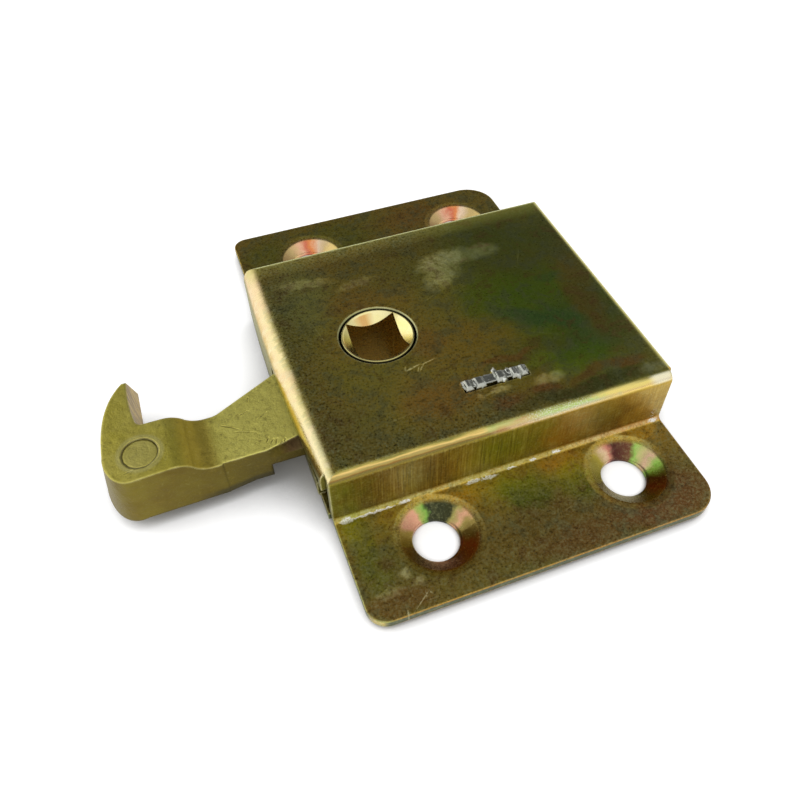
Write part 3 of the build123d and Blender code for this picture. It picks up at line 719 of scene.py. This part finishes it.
def near_top_bends(n, x, y):
    """1 at the bends round the top, 0 further inside than the darker band reaches."""
    from_left = n.math("SUBTRACT", x, LEFT_BEND_X)
    from_right = n.math("SUBTRACT", RIGHT_BEND_X, x)
    from_front = n.math("SUBTRACT", y, FRONT_BEND_Y)
    from_rear = n.math("SUBTRACT", REAR_BEND_Y, y)
    across = n.math("MINIMUM", from_left, from_right)
    along = n.math("MINIMUM", from_front, from_rear)
    return n.ramp(n.math("MINIMUM", across, along), 0.0, BEND_BAND_REACH, 1.0, 0.0)


def seat_colours(n, where):
    """Sectors of colour round each screw seat, partly the plating's own tints and partly painted
    highlights and reflections, and the distance from its centre.
    """
    x, y, _ = n.axes(where)
    right = n.math("GREATER_THAN", x, SEAT_CENTRE[0])
    rear = n.math("GREATER_THAN", y, SEAT_CENTRE[1])
    local = []
    for value, side, centre, half in zip((x, y), (right, rear), SEAT_CENTRE, SEAT_HALF_SPACING):
        middle = n.math("MULTIPLY_ADD", side, 2 * half, centre - half)
        local.append(n.math("SUBTRACT", value, middle))
    radius = n.radius(*local)
    angle = n.math("ARCTAN2", local[1], local[0])
    turn = n.plus(n.math("DIVIDE", angle, math.tau), 0.5)
    turn = n.math("FRACT", n.plus(turn, n.sway(n.noise(where, 0.5, 3.0, 0.6), 0.1)))
    front_left = n.colours(turn, SEAT_FRONT_LEFT)
    front_right = n.colours(turn, SEAT_FRONT_RIGHT)
    rear_pair = n.colours(turn, SEAT_REAR)
    return n.mix(rear, n.mix(right, front_left, front_right), rear_pair), radius


def bend_colours(n, where, normal):
    """Colours along the four folded edges of the top: the plating's own tints with painted highlights
    and reflections, set by the way each bend faces.
    """
    x, y, _ = n.axes(where)
    nx, ny, nz = normal
    streaks = n.noise(n.stretch(where, 0.12, 0.9, 0.9), 1.0, 4.0, 0.65)
    climb = n.math("ADD", n.ramp(nz, 0.2, 0.98), n.sway(streaks, 0.6), clamp=True)
    slow = n.noise(where, 0.3, 3.0, 0.6)
    front_left = n.colours(climb, BEND_FRONT_LEFT)
    front_middle = n.colours(climb, BEND_FRONT_MIDDLE)
    front_right = n.colours(climb, BEND_FRONT_RIGHT)
    along = n.plus(x, n.sway(slow, 16.0), n.sway(climb, 6.0))
    front = n.mix(n.ramp(along, 9.0, 14.0), front_left, front_middle)
    front = n.mix(n.ramp(along, 25.0, 30.0), front, front_right)
    pink = n.times(n.blot(where, *PINK_PLACE), n.ramp(streaks, 0.4, 0.6, 0.3, 1.0))
    front = n.tint(front, pink, BEND_PINK)
    # Painted highlight at the right end of the front bend
    front = n.tint(front, n.blot(where, *CORNER_HIGHLIGHT_PLACE), BEND_HIGHLIGHT_WHITE)
    left = n.colours(n.plus(nz, n.sway(streaks, 0.5)), BEND_LEFT)
    left = n.tint(left, n.ramp(slow, 0.5, 0.66, 0.0, 0.5), BEND_ROSE)
    left = n.tint(left, n.ramp(streaks, 0.5, 0.66, 0.0, 0.4), BEND_CREAM)
    left = n.tint(left, n.blot(where, *LEFT_GLEAM_PLACE), BEND_GLEAM)
    left = n.tint(left, n.ramp(y, 8.0, 18.0, 0.0, 0.4), BEND_WARM)
    shade = n.mix(n.ramp(nx, -0.12, -0.3), front, left)
    shade = n.tint(shade, n.ramp(nx, 0.12, 0.3), BEND_RIGHT)
    return n.tint(shade, n.ramp(ny, 0.12, 0.3), BEND_REAR)


def wall_colours(n, where):
    """Colours of the upright walls, and the lines that the press has drawn down them."""
    x, _, z = n.axes(where)
    drawn = n.noise(n.stretch(where, 1.8, 1.8, 0.1), 1.0, 4.0, 0.7)
    lines = n.noise(n.stretch(where, 5.0, 5.0, 0.16), 1.0, 2.0, 0.6)
    drift = n.noise(n.stretch(where, 0.22, 0.22, 0.45), 1.0, 3.0, 0.6)
    along = n.plus(x, n.sway(drift, 14.0))
    shade = n.colours(n.ramp(along, *WALL_ENDS), WALL_SHADES)
    shade = n.tint(shade, n.ramp(drawn, 0.42, 0.66, 0.0, 0.35), WALL_BROWN)
    # Painted highlight on the walls' upper part
    upper = n.times(n.ramp(z, 6.0, 9.5), n.ramp(x, 8.0, 26.0, 0.1, 0.65))
    shade = n.tint(shade, upper, WALL_HIGHLIGHT_GOLD)
    middle = n.band(x, 3.0, 6.0, 16.0, 1.0, 0.35)
    shade = n.tint(shade, n.times(n.ramp(lines, 0.5, 0.34), middle, 0.6), WALL_DARK_LINE)
    shade = n.tint(shade, n.times(n.ramp(lines, 0.56, 0.7), middle, 0.5), WALL_PALE_LINE)
    # Painted shade towards the walls' foot
    shade = n.tint(shade, n.ramp(z, 4.5, 1.6, 0.0, 0.35), WALL_LOW_SHADE)
    return shade, n.plus(n.times(drawn, 0.5), n.times(lines, 0.5))


def plated_steel():
    """Zinc plate with yellow passivation: olive sheet with clouds, paler on the bends, with painted
    highlights, reflections and shade on its bends, seats, edges and gaps.
    """
    material, n, shader = new_material("plated_steel")
    where = n.place()
    x, y, z = n.axes(where)
    normal = n.normal()
    nx, ny, nz = normal
    mottle = n.noise(where, 0.9, 4.0, 0.65)
    fine = n.noise(where, 2.6, 4.0, 0.7)
    grain = n.noise(where, 6.5, 3.0, 0.65)

    on_top = n.ramp(z, TOP_Z - 1.6, TOP_Z - 1.2)
    on_flange = n.ramp(z, FLANGE_Z + 0.1, FLANGE_Z + 0.05)
    in_front = n.ramp(y, -21.0, -23.0)
    near_bend = n.times(near_top_bends(n, x, y), on_top)
    shade = flat_colours(n, where, on_top, on_flange, in_front, near_bend)

    steep = n.most(n.unsigned(nx), n.unsigned(ny))
    bend = n.ramp(n.times(n.unsigned(nz), steep), 0.06, 0.36, smooth=True)
    high = n.ramp(z, 6.0, 8.5)
    top_bend = n.times(bend, high)
    shade = n.mix(top_bend, shade, bend_colours(n, where, normal))
    freckles = n.times(n.blot(where, *FRECKLES_PLACE), n.ramp(grain, 0.53, 0.6), bend, high)
    shade = n.tint(shade, n.times(freckles, 0.6), FRECKLE)

    wall = n.ramp(steep, 0.9, 0.99)
    wall_shade, lines = wall_colours(n, where)
    shade = n.mix(wall, shade, wall_shade)
    # Painted shade on the flange's cut edge
    cut_edge_shade = n.times(wall, n.ramp(z, FLANGE_Z + 0.05, FLANGE_Z - 0.05))
    shade = n.tint(shade, cut_edge_shade, CUT_EDGE_SHADE)

    seat_tints_and_reflections, radius = seat_colours(n, where)
    in_seat = n.times(n.ramp(radius, SEAT_R - 1.0, SEAT_R, 1.0, 0.0, smooth=True), on_flange)
    # Painted highlight on each seat's rim
    rim_highlight = n.band(radius, SEAT_R, 0.3, 0.9, smooth=True)
    rim_highlight = n.times(rim_highlight, on_flange, n.ramp(mottle, 0.4, 0.6, 0.1, 0.5))
    shade = n.tint(shade, rim_highlight, GOLD)
    # Painted highlights and reflections in the seats, over the plating's own tints
    shade = n.mix(in_seat, shade, seat_tints_and_reflections)

    foot = n.times(bend, n.ramp(z, 2.8, 2.2), n.ramp(z, FLANGE_Z - 0.01, FLANGE_Z + 0.07))
    foot = n.times(foot, n.ramp(radius, SEAT_R - 0.1, SEAT_R + 0.7))
    # Painted glints along the front foot
    spots = n.blots(n.wander(where, 0.7, 2.2), FOOT_GLINTS, soft=0.3)
    spots = n.times(spots, n.ramp(grain, 0.4, 0.52, 0.15, 1.0), n.ramp(z, 4.0, 3.0), n.ramp(z, 1.0, 1.2))
    # Painted reflection on the foot bend
    foot_reflection = n.between(n.ramp(x, 16.0, 30.0), FOOT_REFLECTION_YELLOW, FOOT_REFLECTION_ROSE)
    shade = n.mix(n.times(foot, n.ramp(x, 0.0, 22.0, 0.2, 0.6)), shade, foot_reflection)

    haze = n.blots(n.wander(where, 2.2, 0.6), SMEARS)
    haze = n.times(haze, n.ramp(mottle, 0.3, 0.6, 0.35, 1.0))
    for scratch in SCRATCHES:
        broken = n.ramp(fine, 0.36, 0.52, 0.35, 1.0)
        haze = n.most(haze, n.times(n.blot(where, *scratch), broken))
    shade = n.tint(shade, n.times(haze, 0.6), PALE)

    # Painted highlight along the rear bend
    rear_highlight = n.times(n.ramp(y, 18.8, 22.4), n.ramp(z, 9.0, 10.0), 0.4)
    shade = n.tint(shade, rear_highlight, REAR_HIGHLIGHT_LIME)
    plain = n.rest(n.most(top_bend, n.times(in_seat, 0.75)))
    plain = n.times(plain, n.rest(n.times(n.ramp(x, 10.0, 24.0, 0.0, 0.78), on_top)))
    plain = n.times(plain, n.rest(n.times(wall, 0.55)))
    more = n.plus(0.4, n.times(near_bend, 0.35))
    for speckle, start, full, share, tint in (
        (mottle, 0.52, 0.66, 0.3, MOTTLE_PALE),
        (mottle, 0.46, 0.34, 0.4, MOTTLE_DARK),
        (fine, 0.52, 0.64, more, FINE_PALE),
        (fine, 0.47, 0.36, more, FINE_DARK),
        (grain, 0.56, 0.68, 0.3, GRAIN_PALE),
        (grain, 0.44, 0.34, 0.3, GRAIN_DARK),
    ):
        shade = n.tint(shade, n.times(n.ramp(speckle, start, full), plain, share), tint)

    mouth_radius = n.radius(x, y)
    upper = n.ramp(z, TOP_Z - 0.6, TOP_Z - 0.5)
    # Painted highlight on the socket's mouth, and painted shade in the gap round the follower
    mouth_highlight = n.times(n.ramp(mouth_radius, MOUTH_R + 0.06, MOUTH_R), upper)
    shade = n.tint(shade, n.times(mouth_highlight, 0.8), MOUTH_EDGE_HIGHLIGHT)
    gap_shade = n.times(n.ramp(mouth_radius, MOUTH_GAP_R + 0.08, MOUTH_GAP_R), upper)
    shade = n.tint(shade, gap_shade, MOUTH_GAP_SHADE)

    round_normal = n.rounded(SHEET_EDGE_R)
    # Edges: wear with a painted highlight
    wear_and_highlight = n.times(n.edge(round_normal), n.rest(in_seat), n.ramp(mottle, 0.35, 0.55, 0.25, 0.8))
    wear_and_highlight = n.times(wear_and_highlight, n.ramp(y, 20.0, 21.0, 1.0, 0.15), n.ramp(x, 36.5, 37.5, 1.0, 0.45))
    edge_tint = n.between(n.ramp(x, -13.0, -11.0), EDGE_GREEN, EDGE_GOLD)
    edge_tint = n.mix(n.times(n.ramp(z, 2.0, 1.6), in_front), colour(*WORN_EDGE_HIGHLIGHT), edge_tint)
    shade = n.mix(n.times(wear_and_highlight, 0.7), shade, edge_tint)
    # Painted glints on the foot
    shade = n.tint(shade, spots, GLINT_WHITE)
    shade = n.tint(shade, n.ramp(z, TOP_Z + 0.02, TOP_Z + 0.06), BARE_METAL)

    dull = n.most(haze, spots, rear_highlight)
    smooth_part = n.most(top_bend, in_seat)
    roughness = n.ramp(fine, 0.3, 0.7, 0.26, 0.36)
    roughness = n.math("SUBTRACT", roughness, n.times(smooth_part, 0.07))
    roughness = n.plus(roughness, n.times(wall, 0.12), n.times(dull, 0.2))
    relief = n.plus(n.times(fine, 0.7), n.times(grain, 0.4), n.times(wall, lines, 1.6))
    bumped = n.bump(relief, SHEET_RELIEF, round_normal)
    join_shader(n, shader, shade, roughness, bumped, n.ramp(dull, 0.0, 1.0, 1.0, 0.45))
    return material


def cast_brass():
    """As-cast brass: dull yellow where it faces up, with a brown skin on its sides; the lighter tops and
    darker sides are partly painted light and shade.
    """
    material, n, shader = new_material("cast_brass")
    where = n.place()
    x, y, z = n.axes(where)
    nx, ny, nz = n.normal()
    slow = n.noise(where, 0.16, 3.0, 0.6)
    dents = n.noise(where, 0.55, 3.0, 0.6)
    sand = n.noise(where, 4.5, 4.0, 0.7)
    skin = n.noise(n.wander(where, 1.0, 0.8), 1.3, 5.0, 0.75)
    patchy = n.ramp(slow, 0.35, 0.65)
    facing_up = n.ramp(nz, 0.35, 0.85)
    # Lighter where it faces up, darker on the sides: partly painted light and shade
    side = n.between(patchy, *BRASS_SIDE)
    side = n.tint(side, n.ramp(x, -40.0, -24.0, 0.0, 0.75), BRASS_ARM_SIDE)
    top = n.between(patchy, *BRASS_TOP)
    top = n.tint(top, n.ramp(x, -31.0, -26.0, 0.0, 0.85), BRASS_ARM_TOP)
    shade = n.mix(facing_up, side, top)
    # Painted shade on the slope at the arm's step
    step = n.band(x, ARM_STEP_X, 1.2, 3.2, smooth=True)
    shade = n.tint(shade, n.times(step, facing_up, 0.55), BRASS_STEP_SHADE)
    shade = n.tint(shade, n.ramp(skin, 0.54, 0.68, 0.0, 0.5), BRASS_SKIN)
    pale = n.ramp(nz, 0.2, 0.7, 0.3, 1.0)
    shade = n.tint(shade, n.times(n.ramp(skin, 0.42, 0.3, 0.0, 0.35), pale), BRASS_PALE)
    shade = n.tint(shade, n.times(n.ramp(sand, 0.55, 0.75, 0.0, 0.25), pale), BRASS_SAND_PALE)
    shade = n.tint(shade, n.ramp(sand, 0.42, 0.3, 0.0, 0.3), BRASS_SAND_DARK)
    bevel = n.times(n.ramp(ny, -0.25, -0.4), n.ramp(nz, 0.2, 0.4), n.ramp(x, -23.0, -21.0))
    shade = n.tint(shade, n.times(bevel, 0.8), BRASS_BEVEL)
    # Painted shade along the lower edge of the arm's front, near the case
    shade_under = n.times(n.ramp(z, 3.1, 2.5), n.ramp(ny, -0.3, -0.7), n.ramp(x, -33.0, -29.0))
    shade = n.tint(shade, n.times(shade_under, 0.8), BRASS_UNDER_SHADE)
    jaw = n.times(n.ramp(nx, 0.5, 0.8), n.ramp(x, -35.0, -36.5))
    streaked = n.noise(n.stretch(where, 2.0, 2.0, 0.2), 1.0, 3.0, 0.6)
    jaw_shade = n.between(n.ramp(streaked, 0.4, 0.6), *BRASS_JAW)
    shade = n.mix(n.times(jaw, 0.85), shade, jaw_shade)

    nicks = n.blots(where, NICKS)
    nicks = n.times(nicks, facing_up, n.ramp(sand, 0.3, 0.5, 0.3, 1.0))
    shade = n.tint(shade, n.times(nicks, 0.6), BRASS_NICK)

    radius = n.radius(x, y, PIN_PLACE)
    uneven = n.plus(radius, n.sway(n.noise(where, 1.4), 0.25))
    groove = n.band(uneven, PIN_R + 0.05, 0.04, 0.2)
    ring = n.band(radius, PIN_R + 0.5, 0.15, 0.5)
    disc = n.ramp(radius, PIN_R - 0.1, PIN_R - 0.3)
    on_head = n.ramp(z, 9.9, 10.2)
    # Painted highlight round the pin, and painted shade in its groove
    shade = n.tint(shade, n.times(ring, on_head, 0.4), PIN_RING_HIGHLIGHT)
    shade = n.tint(shade, n.times(disc, on_head, 0.35), PIN_DISC)
    shade = n.tint(shade, n.times(groove, on_head, 0.8), PIN_GROOVE_SHADE)

    round_normal = n.rounded(BRASS_EDGE_R)
    upward = n.axes(round_normal)[2]
    # Edges: wear with a painted highlight
    wear_and_highlight = n.times(n.edge(round_normal), n.ramp(dents, 0.35, 0.6, 0.3, 0.9), n.ramp(upward, 0.15, 0.35))
    shade = n.tint(shade, n.times(wear_and_highlight, 0.6), BRASS_WEAR_AND_HIGHLIGHT)

    relief = n.plus(n.times(sand, 0.4), n.times(dents, 1.8), n.times(skin, -0.4))
    for hollow in (n.times(nicks, 1.4), n.times(groove, on_head, 1.0)):
        relief = n.math("SUBTRACT", relief, hollow)
    bumped = n.bump(relief, BRASS_RELIEF, round_normal)
    join_shader(n, shader, shade, n.ramp(sand, 0.3, 0.7, 0.4, 0.54), bumped)
    return material


def turned_brass():
    """Follower's smoother brass, with a dark skin inside its socket, a painted highlight on its rim and
    painted shade in the gap round it.
    """
    material, n, shader = new_material("turned_brass")
    where = n.place()
    x, y, z = n.axes(where)
    nz = n.normal()[2]
    slow = n.noise(where, 0.35, 3.0, 0.6)
    fine = n.noise(where, 3.0, 3.0, 0.6)
    shade = n.between(n.ramp(slow, 0.35, 0.65), *TURNED)
    reach = n.most(n.unsigned(x), n.unsigned(y))
    upright = n.ramp(n.unsigned(nz), 0.3, 0.1)
    wall = n.times(n.ramp(reach, SOCKET_HALF + 0.06, SOCKET_HALF), upright)
    broached = n.noise(n.stretch(where, 0.5, 0.5, 3.5), 1.0, 4.0, 0.7)
    wall_shade = n.between(n.ramp(broached, 0.4, 0.65), *SOCKET_WALL)
    wall_shade = n.tint(wall_shade, n.ramp(broached, 0.58, 0.66, 0.0, 0.8), SOCKET_DARK)
    shade = n.mix(wall, shade, wall_shade)
    cone = n.times(n.ramp(nz, 0.5, 0.68, smooth=True), n.ramp(z, TOP_Z - 0.2, TOP_Z - 0.35))
    angle = n.math("ARCTAN2", y, x)
    tinge = n.band(angle, CONE_TINGE_AT, 0.08, 0.4, 0.75)
    shade = n.tint(shade, n.times(tinge, cone), CONE_TINGE)
    shadow = n.ramp(n.unsigned(angle), 2.3, 2.9, 0.0, 0.7)
    shade = n.tint(shade, n.times(shadow, cone), CONE_SHADOW)
    radius = n.radius(x, y)
    upper = n.ramp(z, 9.0, 9.5)
    # Painted highlight on the follower's rim, and painted shade in the gap round it
    rim_highlight = n.times(n.ramp(radius, FOLLOWER_R - 0.4, FOLLOWER_R - 0.3), upper)
    shade = n.tint(shade, n.times(rim_highlight, 0.8), FOLLOWER_RIM_HIGHLIGHT)
    gap_shade = n.times(n.ramp(radius, FOLLOWER_R - 0.18, FOLLOWER_R - 0.1), upper)
    shade = n.tint(shade, gap_shade, FOLLOWER_GAP_SHADE)
    relief = n.plus(n.times(fine, 0.5), n.times(wall, broached))
    bumped = n.bump(relief, TURNED_RELIEF, n.rounded(TURNED_EDGE_R))
    join_shader(n, shader, shade, n.ramp(fine, 0.3, 0.7, 0.2, 0.3), bumped)
    return material


def bright_steel():
    """Bare steel: bright where the punch has cut it, dull in its hollows."""
    material, n, shader = new_material("bright_steel")
    where = n.place()
    slow = n.noise(where, 1.1, 2.0, 0.6)
    fine = n.noise(where, 6.0, 3.0, 0.6)
    shade = n.between(n.ramp(slow, 0.4, 0.6), *STEEL)
    shade = n.tint(shade, n.ramp(fine, 0.56, 0.68, 0.0, 0.7), STEEL_HOLLOW)
    join_shader(n, shader, shade, n.ramp(fine, 0.3, 0.7, 0.2, 0.36), n.bump(fine, STEEL_RELIEF))
    return material


def blued_steel():
    """Spring leaf: blue-grey steel with fine rolling lines along it."""
    material, n, shader = new_material("spring_steel")
    where = n.place()
    slow = n.noise(where, 0.3, 2.0)
    rolled = n.noise(n.stretch(where, 0.2, 1.0, 6.0), 1.0, 4.0, 0.6)
    shade = n.between(n.ramp(slow, 0.35, 0.65), *BLUED)
    shade = n.tint(shade, n.ramp(rolled, 0.5, 0.7, 0.0, 0.5), BLUED_LINE)
    join_shader(n, shader, shade, n.ramp(rolled, 0.3, 0.7, 0.28, 0.4), n.bump(rolled, BLUED_RELIEF))
    return material


def new_piece(name, mesh, material):
    """Object made from a mesh, with its material."""
    data = bpy.data.meshes.new(name)
    mesh.to_mesh(data)
    mesh.free()
    data.materials.append(material)
    piece = bpy.data.objects.new(name, data)
    bpy.context.scene.collection.objects.link(piece)
    return piece


def make_lug_head(material):
    """Lumps of bare metal where the punch has spread the lug over the slit."""
    chance = random.Random(NUGGET_SEED)
    mesh = bmesh.new()
    base = TOP_Z - NUGGET_SINK
    for (x, y), (half_x, half_y), top in NUGGETS:
        corners = []
        for level, share in NUGGET_LEVELS:
            start = chance.uniform(0.0, math.tau)
            for step in range(NUGGET_CORNERS):
                angle = start + math.tau * step / NUGGET_CORNERS
                reach = share * chance.uniform(*NUGGET_REACH)
                height = base + (top - base) * level * chance.uniform(*NUGGET_HEIGHT)
                corner_x = x + half_x * reach * math.cos(angle)
                corner_y = y + half_y * reach * math.sin(angle)
                corners.append(mesh.verts.new(Vector((corner_x, corner_y, height)) * MM))
        hull = bmesh.ops.convex_hull(mesh, input=corners)
        inside = hull["geom_interior"] + hull["geom_unused"]
        spare = {vertex for vertex in inside if isinstance(vertex, bmesh.types.BMVert)}
        bmesh.ops.delete(mesh, geom=list(spare), context="VERTS")
    bmesh.ops.recalc_face_normals(mesh, faces=mesh.faces)
    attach(new_piece("lug_head", mesh, material), "case")


def leaf_course():
    """Places along the middle of the leaf spring, from the lug to its free tip, in millimetres."""
    course = []
    for step in range(LEAF_END_STEPS):
        x = LEAF_START_X + (LEAF_BEND[0] - LEAF_START_X) * step / LEAF_END_STEPS
        course.append((x, LEAF_BEND[1]))
    for step in range(LEAF_MIDDLE_STEPS):
        share = step / LEAF_MIDDLE_STEPS
        eased = share ** LEAF_EASE
        rise = eased * eased * (3 - 2 * eased)
        course.append((
            LEAF_BEND[0] + (LEAF_TOUCH[0] - LEAF_BEND[0]) * share,
            LEAF_BEND[1] + (LEAF_TOUCH[1] - LEAF_BEND[1]) * rise,
        ))
    for step in range(LEAF_END_STEPS + 1):
        x = LEAF_TOUCH[0] + (LEAF_TIP_X - LEAF_TOUCH[0]) * step / LEAF_END_STEPS
        course.append((x, LEAF_TOUCH[1] - LEAF_CURL * (x - LEAF_TOUCH[0]) ** 2))
    return [Vector((x, y, 0.0)) for x, y in course]


def make_leaf_spring(material):
    """Leaf that is held on the lug, with its free end at the hook's arm."""
    low, high = LEAF_Z
    middle = (low + high) / 2
    half = LEAF_THICKNESS / 2
    inset = LEAF_CHAMFER
    outline = (
        (-half, low + inset), (-half + inset, low), (half - inset, low), (half, low + inset),
        (half, high - inset), (half - inset, high), (-half + inset, high), (-half, high - inset),
    )
    course = leaf_course()
    mesh = bmesh.new()
    rings = []
    for index, place in enumerate(course):
        ahead = course[min(index + 1, len(course) - 1)] - course[max(index - 1, 0)]
        across = Vector((-ahead.y, ahead.x, 0.0)).normalized()
        left_over = len(course) - 1 - index
        share = LEAF_TIP_SHARES[left_over] if left_over < len(LEAF_TIP_SHARES) else 1.0
        ring = []
        for off, z in outline:
            level = Vector((0.0, 0.0, middle + (z - middle) * share))
            ring.append(mesh.verts.new((place + across * off + level) * MM))
        rings.append(ring)
    count = len(outline)
    for first, second in zip(rings, rings[1:]):
        for step in range(count):
            after = (step + 1) % count
            mesh.faces.new((first[step], first[after], second[after], second[step]))
    mesh.faces.new(rings[0][::-1])
    mesh.faces.new(rings[-1])
    bmesh.ops.recalc_face_normals(mesh, faces=mesh.faces)
    spring = new_piece("leaf_spring", mesh, material)
    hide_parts("return_spring")
    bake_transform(spring)


def make_floor():
    """Pale floor that stays white where little shades it, and keeps the lock's shadow."""
    mesh = bpy.data.meshes.new("floor")
    half = FLOOR_HALF
    corners = [(-half, -half), (half, -half), (half, half), (-half, half)]
    mesh.from_pydata([(x, y, FLOOR_Z) for x, y in corners], [], [(0, 1, 2, 3)])
    floor = bpy.data.objects.new("floor", mesh)
    bpy.context.scene.collection.objects.link(floor)
    material = bpy.data.materials.new("floor")
    material.use_nodes = True
    material.node_tree.nodes.clear()
    n = Nodes(material.node_tree)
    diffuse = n.add("ShaderNodeBsdfDiffuse")
    diffuse.inputs["Color"].default_value = FLOOR_COLOUR
    open_sky = n.add("ShaderNodeAmbientOcclusion", samples=SHADE_SAMPLES)
    open_sky.inputs["Distance"].default_value = SHADE_REACH
    glow = n.add("ShaderNodeEmission")
    ray = n.add("ShaderNodeLightPath")
    kinds = ("Is Camera Ray", "Is Glossy Ray", "Is Transmission Ray")
    seen = n.most(*(ray.outputs[kind] for kind in kinds))
    lit = n.ramp(open_sky.outputs["AO"], *SHADE_ENDS, 0.0, FLOOR_GLOW)
    n.put(glow.inputs["Strength"], n.times(seen, lit))
    both = n.add("ShaderNodeAddShader")
    n.link(diffuse.outputs[0], both.inputs[0])
    n.link(glow.outputs[0], both.inputs[1])
    output = n.add("ShaderNodeOutputMaterial")
    n.link(both.outputs[0], output.inputs[0])
    mesh.materials.append(material)


def make_light():
    """Soft studio light: bright low on the left and above the front, dark above the rear."""
    world = bpy.data.worlds.new("world")
    bpy.context.scene.world = world
    world.use_nodes = True
    world.node_tree.nodes.clear()
    n = Nodes(world.node_tree)
    direction = n.add("ShaderNodeTexCoord").outputs["Generated"]
    level = SKY_LEVEL
    for axis, wide, narrow, target in SKY_PATCHES:
        toward = n.vector_math("DOT_PRODUCT", direction, Vector(axis).normalized())
        outer = math.cos(math.radians(wide))
        inner = math.cos(math.radians(narrow))
        level = n.level(n.ramp(toward, outer, inner, smooth=True), level, target)
    seen = n.add("ShaderNodeLightPath").outputs["Is Camera Ray"]
    level = n.level(seen, level, WHITE_LEVEL)
    background = n.add("ShaderNodeBackground")
    background.inputs["Color"].default_value = WHITE
    n.put(background.inputs["Strength"], level)
    output = n.add("ShaderNodeOutputWorld")
    n.link(background.outputs[0], output.inputs[0])


plated = plated_steel()
brass = cast_brass()
steel = bright_steel()
blued = blued_steel()
finishes = {
    "case": plated,
    "back_plate": plated,
    "spring_clamp": plated,
    "spring_rivets": steel,
    "return_spring": blued,
    "hook": brass,
    "head_pin": brass,
    "follower": turned_brass(),
    "thrust_washer": steel,
    "shim_washer": steel,
}
for name, material in finishes.items():
    nodes[name].data.materials.clear()
    nodes[name].data.materials.append(material)
make_lug_head(steel)
make_leaf_spring(blued)

make_floor()
make_light()
make_camera()
bpy.context.scene.view_settings.view_transform = "Standard"
